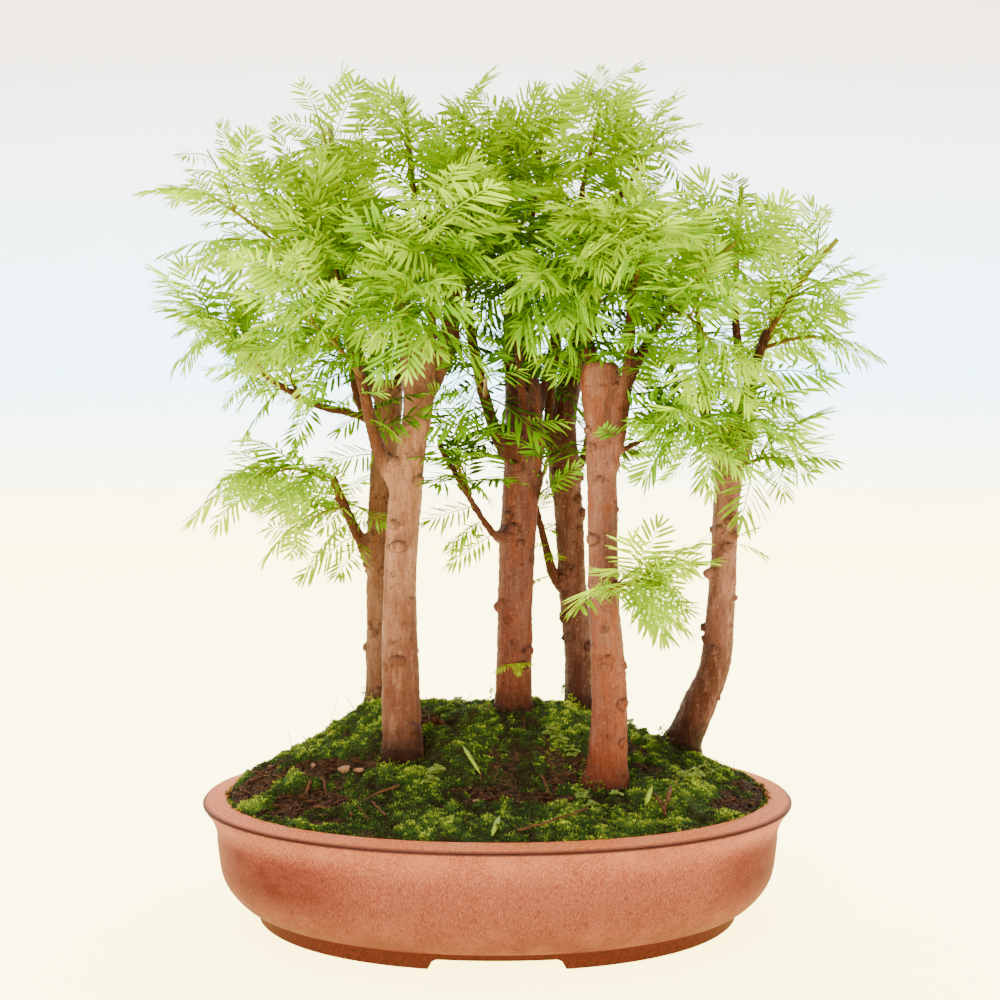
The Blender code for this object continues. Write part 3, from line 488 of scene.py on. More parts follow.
@dataclass(frozen=True)
class GlazeFinish:
    """Copper-brown speckled glaze over red clay, with bare feet and a matt rim."""

    clay: Colour = (0.058, 0.0098, 0.0088)
    base: Colour = (0.145, 0.034, 0.0285)
    red: Colour = (0.080, 0.0092, 0.0094)
    tan: Colour = (0.31, 0.110, 0.096)
    edge: Colour = (0.016, 0.004, 0.006)
    rim: Colour = (0.82, 0.220, 0.085)
    # Ramp positions per millimetre.
    per_mm_up: float = 0.01
    per_mm_across: float = 0.0025

    def build(self) -> Material:
        """Make the material."""
        graph = NodeGraph("glaze")
        flat = graph.place()
        z = graph.times(graph.axis(flat, "Z"), self.per_mm_up)
        x = graph.plus(graph.times(graph.axis(flat, "X"), self.per_mm_across), 0.5)
        fine = graph.noise(graph.place((1.0, 1.0, 0.4)), 2.0, 4.0, 0.7)
        speckle = graph.ramp(fine, ((0.46, 0.0), (0.64, 1.0)))
        cloud = graph.spots(flat, (0.07, 5.0, 0.6), 0.42, 0.62)
        dark = graph.spots(flat, (0.6, 5.0, 0.7), 0.36, 0.47, (1.0, 0.0))
        grit = graph.spots(flat, (0.7, 6.0, 0.75), 0.42, 0.62)
        # Redder toward both ends, in a band round the waist.
        ends = graph.ramp(x, (
            (0.17, 0.15), (0.22, 0.95), (0.29, 0.95), (0.37, 0.1), (0.45, 0.0), (0.70, 0.0),
            (0.745, 0.95), (0.785, 0.95), (0.83, 0.1)))
        waist = graph.ramp(z, ((0.16, 0.0), (0.28, 1.0), (0.40, 1.0), (0.47, 0.0)))
        ends = graph.times(graph.times(ends, waist), 0.82)
        ends = graph.plus(ends, graph.times(graph.times(cloud, waist), 0.3))
        body = graph.layer(self.base, cloud, 0.3, self.tan)
        body = graph.mix(ends, body, self.red)
        body = graph.layer(body, dark, 0.4, self.edge)
        # Pale speckles, denser toward the lip.
        share = graph.ramp(z, ((0.08, 0.25), (0.2, 0.5), (0.36, 0.6), (0.47, 0.85), (0.52, 0.7)))
        share = graph.times(share, graph.plus(graph.times(ends, -0.75), 1.0))
        body = graph.layer(body, speckle, share, self.tan)
        # Painted shade: darker toward both ends and toward the bottom.
        across = graph.ramp(x, ((0.18, 0.88), (0.34, 1.0), (0.7, 1.0), (0.84, 0.95)))
        shade = graph.ramp(z, ((0.09, 0.46), (0.26, 0.78), (0.4, 1.0)))
        body = graph.tint(body, graph.times(across, shade))
        # Bare clay below, a dark line under the lip and a bare rim on top.
        clay = graph.mix(grit, self.clay, scaled(self.clay, 0.55))
        rim = graph.mix(grit, self.rim, scaled(self.rim, 0.62))
        level = graph.plus(z, graph.times(graph.noise(flat, 0.06, 2.0), 0.012))
        above = graph.ramp(level, ((0.0735, 0.0), (0.0765, 1.0)))
        colour = graph.mix(above, clay, body)
        edge = graph.ramp(z, ((0.520, 0.0), (0.5245, 1.0), (0.5325, 1.0), (0.5375, 0.0)))
        colour = graph.layer(colour, edge, 0.92, self.edge)
        top = graph.ramp(z, ((0.5345, 0.0), (0.5385, 1.0)))
        colour = graph.mix(top, colour, rim)
        matt = graph.plus(graph.plus(graph.times(above, -0.45), 0.8), graph.times(top, 0.3))
        graph.bump(fine, 0.35, 0.4)
        return graph.finish(colour, matt, Specular_IOR_Level=0.0, Coat_Weight=0.08, Coat_Roughness=0.3)


@dataclass(frozen=True)
class EarthFinish:
    """Dark moist potting mix with a few paler grains."""

    dark: Colour = (0.012, 0.005, 0.003)
    light: Colour = (0.18, 0.084, 0.038)

    def build(self) -> Material:
        """Make the material."""
        graph = NodeGraph("earth")
        flat = graph.place()
        grains = graph.spots(flat, (0.5, 6.0, 0.75), 0.42, 0.7)
        graph.bump(graph.noise(flat, 0.8, 6.0, 0.75), 1.0, 1.2)
        return graph.finish(graph.mix(grains, self.dark, self.light), 0.9, Specular_IOR_Level=0.12)


@dataclass(frozen=True)
class MossFinish:
    """Moss in several greens, by a tone stored on the mesh."""

    name: str
    # Brightness factor; the skin's lower one is painted shade under the sprigs.
    shade: float
    stops: Stops = (
        (0.0, (0.022, 0.012, 0.006)), (0.22, (0.036, 0.030, 0.010)), (0.45, (0.026, 0.056, 0.010)),
        (0.7, (0.082, 0.135, 0.018)), (1.0, (0.34, 0.39, 0.040)),
    )

    def build(self) -> Material:
        """Make the material."""
        graph = NodeGraph(self.name)
        flat = graph.place()
        stops = [(spot, scaled(colour, self.shade)) for spot, colour in self.stops]
        colour = graph.colours(graph.attribute(TONE), stops)
        colour = graph.tint(colour, graph.spots(flat, (1.3, 4.0), 0.33, 0.66, (0.25, 1.55)))
        graph.bump(graph.noise(flat, 1.1, 5.0, 0.7), 0.9, 0.9)
        return graph.finish(colour, 0.85, Specular_IOR_Level=0.08)


@dataclass(frozen=True)
class BarkFinish:
    """Redwood bark: tan plates and fibres, warm red below, darker above (partly darker bark, partly
    painted shade under the crown), with painted shade at the foot and in the crevices.
    """

    name: str
    tan: Colour
    warm: Colour
    dark: Colour
    warm_top: float
    dark_from: float
    dark_to: float
    foot_shade: float
    ground: float
    limb: Colour = (0.062, 0.0185, 0.012)
    fleck: Colour = (0.36, 0.20, 0.14)
    # Colour of the painted shade at the trunk's foot.
    soil: Colour = (0.018, 0.007, 0.005)
    # Ramp position per millimetre of height, and how far the colours wander and fade in millimetres.
    per_mm: float = 0.002
    drift: float = 90.0
    warm_fade: Pair = (20.0, 75.0)
    dark_fade: float = 45.0
    foot_shade_drift: float = 16.0
    foot_shade_per_mm: float = 0.02

    def height_ramp(
        self, graph: NodeGraph, level: Socket, start: float, end: float, levels: Pair
    ) -> Socket:
        """Grey ramp between two heights in millimetres."""
        return graph.ramp(level, ((start * self.per_mm, levels[0]), (end * self.per_mm, levels[1])))

    def build(self) -> Material:
        """Make the material."""
        graph = NodeGraph(self.name)
        flat = graph.place()
        fibre = graph.place((1.0, 1.0, 0.12))
        band = graph.place((0.4, 0.4, 1.7))
        z = graph.axis(flat, "Z")
        fine = graph.noise(fibre, 0.8, 6.0, 0.68)
        pale = tuple(min(1.0, 1.5 * part + 0.035) for part in self.tan)
        # Dark of the lenticel lines, spots and scars, and of the painted shade in the crevices.
        crack_and_crevice_shade = scaled(self.tan, 0.22)
        level = graph.plus(z, graph.times(graph.noise(flat, 0.05, 3.0), self.drift))
        level = graph.times(level, self.per_mm)
        warm_from, warm_to = (self.warm_top + fade for fade in self.warm_fade)
        low = self.height_ramp(graph, level, warm_from, warm_to, (1.0, 0.0))
        # Darker from these heights up: partly darker bark, partly painted shade under the crown.
        dark_from, dark_to = self.dark_from + self.dark_fade, self.dark_to + self.dark_fade
        high = self.height_ramp(graph, level, dark_from, dark_to, (0.0, 1.0))
        # Painted shade at the trunk's foot, fading out between about 11 and 26 mm above the ground.
        above = graph.plus(z, graph.times(graph.noise(flat, 0.25, 4.0), self.foot_shade_drift))
        above = graph.times(graph.math("SUBTRACT", above, self.ground), self.foot_shade_per_mm)
        layers = (
            (graph.spots(fibre, (0.11, 5.0, 0.6), 0.42, 0.6), 0.6, pale),
            (low, 0.85, self.warm),
            (high, 0.9, self.dark),
            (graph.spots(fibre, (0.3, 6.0, 0.7), 0.52, 0.6), 0.34, pale),
            (graph.spots(graph.place((1.0, 1.0, 0.45)), (0.16, 5.0, 0.65), 0.5, 0.6), 0.55, self.warm),
            (graph.attribute("limb"), 0.85, self.limb),
            # Painted shade in the crevices, where the bump's height is low.
            (graph.ramp(fine, ((0.36, 1.0), (0.5, 0.0))), 0.38, crack_and_crevice_shade),
            (graph.spots(band, (0.5, 4.0, 0.6), 0.63, 0.68), 0.5, crack_and_crevice_shade),
            (graph.spots(flat, (0.75, 2.0, 0.5), 0.66, 0.72), 0.5, crack_and_crevice_shade),
            (graph.spots(flat, (0.22, 4.0, 0.6), 0.62, 0.7), 0.6, crack_and_crevice_shade),
            (graph.attribute("scar"), 0.78, crack_and_crevice_shade),
            (graph.spots(graph.place((1.0, 1.0, 0.6)), (0.9, 3.0, 0.6), 0.6, 0.68), 0.3, self.fleck),
            # Painted shade at the foot.
            (graph.ramp(above, ((0.22, 1.0), (0.52, 0.0))), self.foot_shade, self.soil),
        )
        colour = self.tan
        for share, strength, over in layers:
            colour = graph.layer(colour, share, strength, over)
        ringed = graph.times(graph.noise(band, 0.5, 4.0, 0.6), -0.4)
        graph.bump(graph.plus(fine, ringed), 0.9, 1.5)
        return graph.finish(colour, 0.6, Specular_IOR_Level=0.05)


@dataclass(frozen=True)
class LeafFinish:
    """Soft flat needles from deep green to yellow-green: fresher at the twig tips, with painted shade
    inside the crown and painted light at its outside.
    """

    stops: Stops = (
        (0.0, (0.011, 0.038, 0.002)), (0.3, (0.042, 0.125, 0.003)), (0.55, (0.098, 0.245, 0.001)),
        (0.8, (0.158, 0.345, 0.0)), (1.0, (0.285, 0.475, 0.0)),
    )

    def build(self) -> Material:
        """Make the material."""
        graph = NodeGraph("leaf_green")
        colour = graph.colours(graph.attribute(TONE), self.stops)
        colour = graph.tint(colour, graph.spots(graph.place(), (0.12, 3.0), 0.3, 0.7, (0.8, 1.15)))
        return graph.finish(
            colour, 0.55, Specular_IOR_Level=0.0, Subsurface_Weight=0.05, Subsurface_Scale=0.001)


@dataclass(frozen=True)
class StemFinish:
    """Green shoot stems that brown with age, by a tone stored on the mesh."""

    stops: Stops = (
        (0.0, (0.070, 0.019, 0.009)), (0.5, (0.13, 0.065, 0.012)), (1.0, (0.17, 0.21, 0.012)),
    )

    def build(self) -> Material:
        """Make the material."""
        graph = NodeGraph("young_stem")
        colour = graph.colours(graph.attribute(TONE), self.stops)
        flat = graph.place((1.0, 1.0, 0.4))
        colour = graph.tint(colour, graph.spots(flat, (0.9, 4.0), 0.3, 0.7, (0.55, 1.25)))
        graph.bump(graph.noise(flat, 0.9, 3.0), 0.5, 0.3)
        return graph.finish(colour, 0.55, Specular_IOR_Level=0.15)


@dataclass(frozen=True)
class PlainGrainFinish:
    """Any small matt thing with a grain, such as litter, liverwort or a drain screen."""

    name: str
    light: Colour
    dark: Colour
    grain: float
    roughness: float
    relief: float = 0.3

    def build(self) -> Material:
        """Make the material."""
        graph = NodeGraph(self.name)
        flat = graph.place()
        colour = graph.mix(graph.spots(flat, (self.grain, 4.0), 0.32, 0.7), self.light, self.dark)
        graph.bump(graph.noise(flat, self.grain, 4.0), 0.5, self.relief)
        return graph.finish(colour, self.roughness, Specular_IOR_Level=0.15)


@dataclass(frozen=True)
class BackdropFinish:
    """Pale paper lit from behind: warm below, cool in the middle and grey at the top."""

    stops: Stops = (
        (0.0, (0.90, 0.76, 0.22)), (0.12, (0.96, 0.78, 0.22)), (0.4, (0.18, 0.50, 0.78)),
        (1.0, (0.17, 0.135, 0.22)),
    )
    paper: Colour = (0.88, 0.86, 0.83)
    glow: float = 9.0
    per_mm: float = 0.001

    def build(self) -> Material:
        """Make the material."""
        graph = NodeGraph("backdrop")
        flat = graph.place()
        colour = graph.colours(graph.times(graph.axis(flat, "Z"), self.per_mm), self.stops)
        fine = graph.spots(flat, (0.01, 3.0), 0.3, 0.7, (0.98, 1.0))
        graph.feed(graph.shader.inputs["Emission Color"], graph.tint(colour, fine))
        graph.shader.inputs["Emission Strength"].default_value = self.glow
        return graph.finish(graph.tint(self.paper, fine), 0.85, Specular_IOR_Level=0.1)


@dataclass
class Workshop:
    """Turns a mesh in the tray's millimetres into a finished piece of the model."""

    place: TrayPlace

    def link(self, name: str, bm: BMesh, materials: Sequence[Material]) -> Piece:
        """Make an object of a mesh.

        Args:
            name: the piece's name.
            bm: its mesh, in millimetres in the tray's frame; it is freed.
            materials: its finishes, by face index.

        Returns:
            The new object, at the origin.
        """
        bm.transform(self.place.matrix)
        mesh = bpy.data.meshes.new(name)
        bm.to_mesh(mesh)
        bm.free()
        for material in materials:
            mesh.materials.append(material)
        made = bpy.data.objects.new(name, mesh)
        bpy.context.scene.collection.objects.link(made)
        return made

    def declare(self, piece: Piece, slot: str, names: Sequence[str] = ()) -> None:
        """Ride a piece on the plant, hide the solids that it takes the place of and log its face count.
        """
        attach(piece, BODY)
        if names:
            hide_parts(*names)
        LOG.info("%s: %d faces", piece.name, len(piece.data.polygons))

    def make(
        self, name: str, bm: BMesh, materials: Sequence[Material], slot: str,
        names: Sequence[str] = (), smooth: bool = False,
    ) -> None:
        """Args:
            name: the piece's name.
            bm: its mesh; it is freed.
            materials: its finishes, by face index.
            slot: the finish slot it shows; not used.
            names: the solids that it takes the place of.
            smooth: true to shade all of its faces smooth.
        """
        piece = self.link(name, bm, materials)
        if smooth:
            piece.data.shade_smooth()
        self.declare(piece, slot, names)


def apply_modifiers(piece: Piece) -> None:
    """Keep the evaluated mesh and drop the modifiers."""
    graph = bpy.context.evaluated_depsgraph_get()
    final = bpy.data.meshes.new_from_object(piece.evaluated_get(graph))
    old = piece.data
    piece.modifiers.clear()
    piece.data = final
    bpy.data.meshes.remove(old)


def smooth_path(points: Sequence[Sequence[float]], steps: int) -> list[Vector]:
    """Points along a smooth curve through the given ones.

    Args:
        points: places in three or four values each.
        steps: how many stretches each span is cut into.

    Returns:
        The places along the curve, with the ends kept.
    """
    rows = [Vector(point) for point in points]
    rows = [rows[0] * 2.0 - rows[1]] + rows + [rows[-1] * 2.0 - rows[-2]]
    out = []
    for index in range(1, len(rows) - 2):
        before, start, end, after = rows[index - 1:index + 3]
        for step in range(steps):
            t = step / steps
            out.append(
                0.5 * (2.0 * start + (end - before) * t
                       + (2.0 * before - 5.0 * start + 4.0 * end - after) * t * t
                       + (3.0 * start - before - 3.0 * end + after) * t ** 3)
            )
    out.append(rows[-2])
    return out


def clamp(value: float, low: float = 0.0, high: float = 1.0) -> float:
    """A value kept between two others."""
    return max(low, min(high, value))


def path_length(line: Line) -> float:
    """Length of a line of points."""
    return sum((after - before).length for before, after in zip(line, line[1:]))


def ground_noise(x: float, y: float, scale: float, level: float) -> float:
    """Noise over the ground; the level picks one of its patterns."""
    return noise.noise(Vector((x * scale, y * scale, level)))


def add_tube(bm: BMesh, path: Line, radii: Sequence[float], sides: int) -> list[BMVert]:
    """Closed round tube along a path.

    Args:
        bm: mesh to add to.
        path: its middle line.
        radii: its radius at each point.
        sides: how many flat sides it has.

    Returns:
        The tube's vertices, ring by ring.
    """
    frame = None
    rings: list[list[BMVert]] = []
    for index, (spot, radius) in enumerate(zip(path, radii)):
        ahead = (path[min(index + 1, len(path) - 1)] - path[max(index - 1, 0)]).normalized()
        if frame is None:
            frame = ahead.orthogonal()
        frame = (frame - ahead * frame.dot(ahead)).normalized()
        other = ahead.cross(frame)
        ring = []
        for corner in range(sides):
            angle = corner * math.tau / sides
            offset = (frame * math.cos(angle) + other * math.sin(angle)) * radius
            ring.append(bm.verts.new(spot + offset))
        rings.append(ring)
    for low, high in zip(rings, rings[1:]):
        for corner in range(sides):
            after = (corner + 1) % sides
            bm.faces.new((low[corner], low[after], high[after], high[corner]))
    bm.faces.new(rings[0][::-1])
    bm.faces.new(rings[-1])
    return [vert for ring in rings for vert in ring]


def random_turn(spot: Vector, draw: Draw) -> Matrix:
    """Place with a free turn round Z and a slight tilt."""
    matrix = Matrix.Translation(spot) @ Matrix.Rotation(draw.uniform(0.0, math.tau), 4, "Z")
    return matrix @ Matrix.Rotation(draw.uniform(-0.5, 0.5), 4, "X")


@dataclass
class Stencil:
    """A small mesh that is repeated many times inside a larger one."""

    spots: list[Vector]
    faces: list[tuple[int, ...]]
    tones: list[float]

    @classmethod
    def from_bmesh(cls, bm: BMesh, tones: Sequence[float]) -> Stencil:
        """Take the shape of a mesh and free it.

        Args:
            bm: the mesh to repeat.
            tones: the stored tone of each of its vertices.

        Returns:
            The stencil.
        """
        face_outward(bm)
        bm.verts.index_update()
        spots = [vert.co.copy() for vert in bm.verts]
        faces = [tuple(vert.index for vert in face.verts) for face in bm.faces]
        bm.free()
        return cls(spots, faces, list(tones))

    def stamp(self, bm: BMesh, layer: BMLayerItem, matrix: Matrix, lift: float) -> None:
        """Add one copy.

        Args:
            bm: mesh to add to.
            layer: its tone layer.
            matrix: where the copy goes.
            lift: added to the copy's tones.
        """
        verts = [bm.verts.new(matrix @ spot) for spot in self.spots]
        for vert, tone in zip(verts, self.tones):
            vert[layer] = clamp(tone + lift)
        for face in self.faces:
            bm.faces.new([verts[index] for index in face])


def add_needle(
    bm: BMesh, foot: Vector, ahead: Vector, up: Vector, reach: float, width: float, sag: float,
    stations: Sequence[Pair] = FULL_NEEDLE,
) -> list[BMVert]:
    """One flat pointed needle with a raised rib under it.

    Args:
        bm: mesh to add to.
        foot: where the needle starts.
        ahead: its direction.
        up: the way its flat face looks.
        reach: its length.
        width: its width at the widest.
        sag: how far its tip droops, as a share of the length.
        stations: shares of its length with their shares of the width.

    Returns:
        The needle's vertices from foot to tip.
    """
    side = ahead.cross(up).normalized()
    verts = [bm.verts.new(foot)]
    rings = []
    for share, wide in stations:
        middle = foot + ahead * reach * share - up * sag * reach * share * share
        half = side * width * wide * 0.5
        rings.append([
            bm.verts.new(middle - half), bm.verts.new(middle + half),
            bm.verts.new(middle - up * 0.3 * wide),
        ])
    tip = bm.verts.new(foot + ahead * reach - up * sag * reach)
    for index in range(3):
        after = (index + 1) % 3
        bm.faces.new((verts[0], rings[0][after], rings[0][index]))
        for low, high in zip(rings, rings[1:]):
            bm.faces.new((low[index], low[after], high[after], high[index]))
        bm.faces.new((rings[-1][index], rings[-1][after], tip))
    return [verts[0], *(vert for ring in rings for vert in ring), tip]


def add_chip(
    bm: BMesh, spot: Vector, size: float, flat: float, draw: Draw, second: bool = False
) -> None:
    """One angular grain or chip.

    Args:
        bm: mesh to add to.
        spot: its middle.
        size: its half length.
        flat: its thickness as a share of its size.
        draw: seeded numbers.
        second: true for the piece's second finish.
    """
    matrix = random_turn(spot, draw)
    matrix = matrix @ Matrix.Diagonal((size, size * draw.uniform(0.3, 0.85), size * flat, 1.0))
    ball = bmesh.ops.create_icosphere(bm, subdivisions=1, radius=1.0, matrix=matrix)
    for vert in ball["verts"]:
        vert.co += Vector([draw.uniform(-0.22, 0.22) * size for _ in range(3)])
        for face in vert.link_faces:
            face.material_index = int(second)


def oval_point(half_x: float, half_y: float, angle: float) -> Pair:
    """Point of the tray's oval at an angle."""
    power = 2.0 / OVAL_POWER
    cos_a, sin_a = math.cos(angle), math.sin(angle)
    x = half_x * math.copysign(abs(cos_a) ** power, cos_a)
    y = half_y * math.copysign(abs(sin_a) ** power, sin_a)
    return x, y


def add_oval(
    bm: BMesh, half_x: float, half_y: float, z: float | Callable[[float, float], float], sides: int
) -> list[BMVert]:
    """One closed oval loop at a height, or at a rule of x and y."""
    ring = bmesh.ops.create_circle(bm, cap_ends=False, segments=sides, radius=1.0)["verts"]
    for index, vert in enumerate(ring):
        x, y = oval_point(half_x, half_y, index * math.tau / sides)
        vert.co = (x, y, z(x, y) if callable(z) else z)
    return ring


def bridge(bm: BMesh, lower: Sequence[BMVert], upper: Sequence[BMVert]) -> None:
    """Face the strip between two loops of the same length."""
    edges = set()
    for ring in (lower, upper):
        for index, vert in enumerate(ring):
            other = ring[(index + 1) % len(ring)]
            edges.add(bm.edges.get((vert, other)))
    bmesh.ops.bridge_loops(bm, edges=list(edges))


def face_outward(bm: BMesh) -> None:
    """Turn all faces of a mesh outward."""
    bmesh.ops.recalc_face_normals(bm, faces=bm.faces)


def moved_verts(geometry: Iterable[object]) -> list[BMVert]:
    """The vertices in what an extrusion made."""
    return [item for item in geometry if isinstance(item, BMVert)]


def close_ring(bm: BMesh, ring: Sequence[BMVert], z: float | None = None) -> None:
    """Close a loop with a fan round a middle point."""
    poked = bmesh.ops.poke(bm, faces=[bm.faces.new(ring)])
    if z is not None:
        poked["verts"][0].co.z = z


@dataclass
class GlazedTray:
    """Oval tray with a rolled lip, two feet and two drain holes."""

    workshop: Workshop
    sides: int = 168
    gap_half: float = 28.0
    gap_half_top: float = 25.0
    gap_height: float = 4.4
    drain_x: float = 55.0
    drain_radius: float = 8.0
    cut_from: float = 60.0
    cut_to: float = 95.0
    sharp_angle: float = 38.0

    def profile(self) -> list[Point]:
        """Half sizes and heights from the underside, out over the lip and in to the floor."""
        outer = [tuple(row) for row in smooth_path(TRAY_OUTER[1:9], 4)]
        foot = [TRAY_OUTER[0], (109.9, 82.8, 0.5), (110.9, 83.4, 5.9)]
        lip = [
            (134.95, 103.95, 52.3), (135.0, 104.0, 52.9), (134.6, 103.6, 53.45), (133.4, 102.4, 53.75),
            (129.5, 98.4, 54.35), (125.6, 94.5, 54.8), (124.6, 93.5, 54.75), (123.9, 92.8, 54.2),
            (122.9, 91.8, 52.4),
        ]
        inner = [tuple(row) for row in smooth_path(TRAY_INNER[1:], 3)]
        return [*FOOT_INNER, *foot, *outer, *lip, *inner]

    def cutters(self) -> list[Piece]:
        """Blocks for the gaps between the feet and bars for the drain holes."""
        made = []
        outline = (
            (-self.gap_half - 1.2, -1.5), (-self.gap_half + 0.2, 0.5),
            (-self.gap_half_top - 1.2, self.gap_height - 0.9),
            (-self.gap_half_top + 0.6, self.gap_height),
        )
        outline = outline + tuple((-x, z) for x, z in reversed(outline))
        for side in (-1.0, 1.0):
            bm = bmesh.new()
            face = bm.faces.new([bm.verts.new((x, side * self.cut_from, z)) for x, z in outline])
            moved = bmesh.ops.extrude_face_region(bm, geom=[face])["geom"]
            for vert in moved_verts(moved):
                vert.co.y = side * self.cut_to
            face_outward(bm)
            made.append(self.workshop.link("foot_gap", bm, ()))
            bm = bmesh.new()
            bmesh.ops.create_cone(
                bm, cap_ends=True, segments=48, radius1=self.drain_radius,
                radius2=self.drain_radius, depth=20.0,
                matrix=Matrix.Translation((side * self.drain_x, 0.0, 8.0)),
            )
            made.append(self.workshop.link("drain", bm, ()))
        return made

    def build(self, glaze: Material) -> None:
        """Build the tray as one body and dress it."""
        bm = bmesh.new()
        rings = [add_oval(bm, *row, self.sides) for row in self.profile()]
        for lower, upper in zip(rings, rings[1:]):
            bridge(bm, lower, upper)
        close_ring(bm, rings[0])
        close_ring(bm, rings[-1])
        face_outward(bm)
        tray = self.workshop.link("tray_glazed", bm, (glaze,))
        cutters = self.cutters()
        for cutter in cutters:
            cut = tray.modifiers.new("cut", "BOOLEAN")
            cut.operation = "DIFFERENCE"
            cut.object = cutter
            cut.solver = "EXACT"
        apply_modifiers(tray)
        for cutter in cutters:
            bpy.data.objects.remove(cutter, do_unlink=True)
        tray.data.shade_smooth()
        tray.data.set_sharp_from_angle(angle=math.radians(self.sharp_angle))
        self.workshop.declare(tray, "glaze", ("tray",))


class CushionValue(IntEnum):
    """What a moss cushion adds, by its column in the table of cushions."""

    HEIGHT = 3
    TONE = 4


@dataclass
class PlantedMound:
    """Soil mound with bare patches, its moss skin, moss sprigs and soil grains."""

    workshop: Workshop
    edge: float = 54.6
    rise: float = 33.0
    centre: Pair = (-8.0, 38.0)
    spread: Pair = (110.0, 72.0)
    bumps: tuple[Quad, ...] = (
        (-62, 42, 9, 26), (32, 48, 3.5, 22), (-104, -6, 6, 24), (72, -28, 3, 26), (-48, 2, 2, 18),
    )
    # Bare soil as x, y and half sizes.
    bare: tuple[Quad, ...] = (
        (-88, -44, 30, 12), (-112, -18, 17, 15), (-80, -14, 20, 9), (-68, -64, 14, 5), (10, -47, 24, 8),
        (28, -31, 11, 7), (-8, -42, 12, 5), (107, -33, 14, 13), (116, -8, 8, 15), (68, -14, 8, 6),
        (38, -15, 8, 7), (-31, 12, 9, 7), (60, 8, 12, 8), (-98, 30, 12, 9), (10, 66, 20, 8),
    )
    # Bright cushions as x, y, radius, height and added tone.
    cushions: tuple[tuple[float, float, float, float, float], ...] = (
        (-92, -26, 10, 2, 0.45), (-107, -41, 9, 1.8, 0.45), (-43, -26, 12, 1.6, 0.1),
        (-15, -72, 15, 1.6, 0.12), (26, -72, 15, 2, 0.18), (90, -30, 10, 2.4, 0.55),
        (72, -46, 14, 2.2, 0.3), (-62, 36, 16, 2, 0.4), (-82, 10, 14, 1.6, 0.45), (34, 34, 14, 2.2, 0.3),
        (0, 8, 18, 1, 0), (96, 6, 12, 2, 0.4), (-52, -70, 12, 1.4, 0.1), (56, -68, 10, 1.8, 0.2),
        (60, 50, 16, 2, 0.2), (-10, 74, 18, 1.6, 0.2), (-88, 46, 12, 1.6, 0.25), (77, 18, 7, 5, -0.1),
        (-12, 14, 6, 3, -0.1),
    )
    rings: int = 84
    sides: int = 264
    soil_rings: int = 56
    soil_sides: int = 200
    sprigs: int = 21000
    sprig_pieces: int = 2
    soil_margin: float = 2.2
    moss_margin: float = 1.2
    wall_gap: float = 0.9
    soil_sink: float = 1.7
    moss_sink: float = 3.2
    moss_depth: float = 3.0
    under_moss: float = 49.5
    grains: int = 7800
    collar_sprigs: int = 120
    fringe_sprigs: int = 700
    sprig_seed: int = 41
    grain_seed: int = 43

    def height(self, x: float, y: float) -> float:
        """Height of the planted surface over a point of the tray."""
        half_x, half_y = TRAY_INNER[0][0], TRAY_INNER[0][1]
        rho = (abs(x / half_x) ** OVAL_POWER + abs(y / half_y) ** OVAL_POWER) ** (1.0 / OVAL_POWER)
        edge = max(0.0, 1.0 - rho ** 7.0) ** 0.8
        off_x = (x - self.centre[0]) / self.spread[0]
        off_y = (y - self.centre[1]) / self.spread[1]
        rise = self.rise * math.exp(-off_x * off_x - off_y * off_y)
        for bump_x, bump_y, height, spread in self.bumps:
            rise += height * math.exp(-((x - bump_x) ** 2 + (y - bump_y) ** 2) / spread ** 2)
        return self.edge + rise * edge

    def mossiness(self, x: float, y: float) -> float:
        """One where moss grows, falling to zero or less in the bare patches."""
        share = 1.0
        for spot_x, spot_y, half_x, half_y in self.bare:
            off = math.hypot((x - spot_x) / half_x, (y - spot_y) / half_y)
            share = min(share, (off - 0.8) * 1.6)
        for spot_x, spot_y, radius, _, _ in self.cushions:
            share = max(share, 1.4 - 1.4 * math.hypot(x - spot_x, y - spot_y) / radius)
        ragged = 0.8 * ground_noise(x, y, 0.11, 3.0)
        ragged += 0.6 * ground_noise(x, y, 0.3, 7.0)
        return clamp(share + ragged + 0.1, -1.0)

    def soil_top(self, x: float, y: float) -> float:
        """Height of the rough soil."""
        lumps = 0.9 * ground_noise(x, y, 0.2, 0.0)
        lumps += 0.7 * ground_noise(x, y, 0.6, 0.0)
        return self.height(x, y) - self.soil_sink + lumps

    def cushion(self, x: float, y: float, value: CushionValue) -> float:
        """Height or tone that the cushions add at a point."""
        total = 0.0
        for row in self.cushions:
            total += row[value] * math.exp(-((x - row[0]) ** 2 + (y - row[1]) ** 2) / row[2] ** 2)
        return total

    def moss_top(self, x: float, y: float) -> float:
        """Height of the moss, which swells in cushions and sinks under bare soil."""
        lumps = 2.6 * ground_noise(x, y, 0.055, 0.5)
        lumps += 3.6 * abs(ground_noise(x, y, 0.13, 2.0)) - 0.9
        lumps += 0.7 * ground_noise(x, y, 0.4, 4.0) + self.cushion(x, y, CushionValue.HEIGHT)
        share = self.mossiness(x, y)
        swell = (self.moss_depth + lumps) * clamp(share * 1.6, -0.2)
        return self.height(x, y) - self.moss_sink + swell

    def tone(self, x: float, y: float) -> float:
        """Moss colour from brown through deep green to yellow-green, lighter on the raised ridges as
        painted light and darker in the hollows between them as painted shade.
        """
        patch = ground_noise(x, y, 0.05, 9.0)
        fleck = ground_noise(x, y, 0.2, 11.0)
        # Painted light: brighter where the same noise raises the moss into ridges.
        ridge_light = abs(ground_noise(x, y, 0.13, 2.0))
        value = 0.2 + 0.55 * patch + 0.5 * fleck + 0.9 * ridge_light + self.cushion(x, y, CushionValue.TONE)
        return clamp(value)

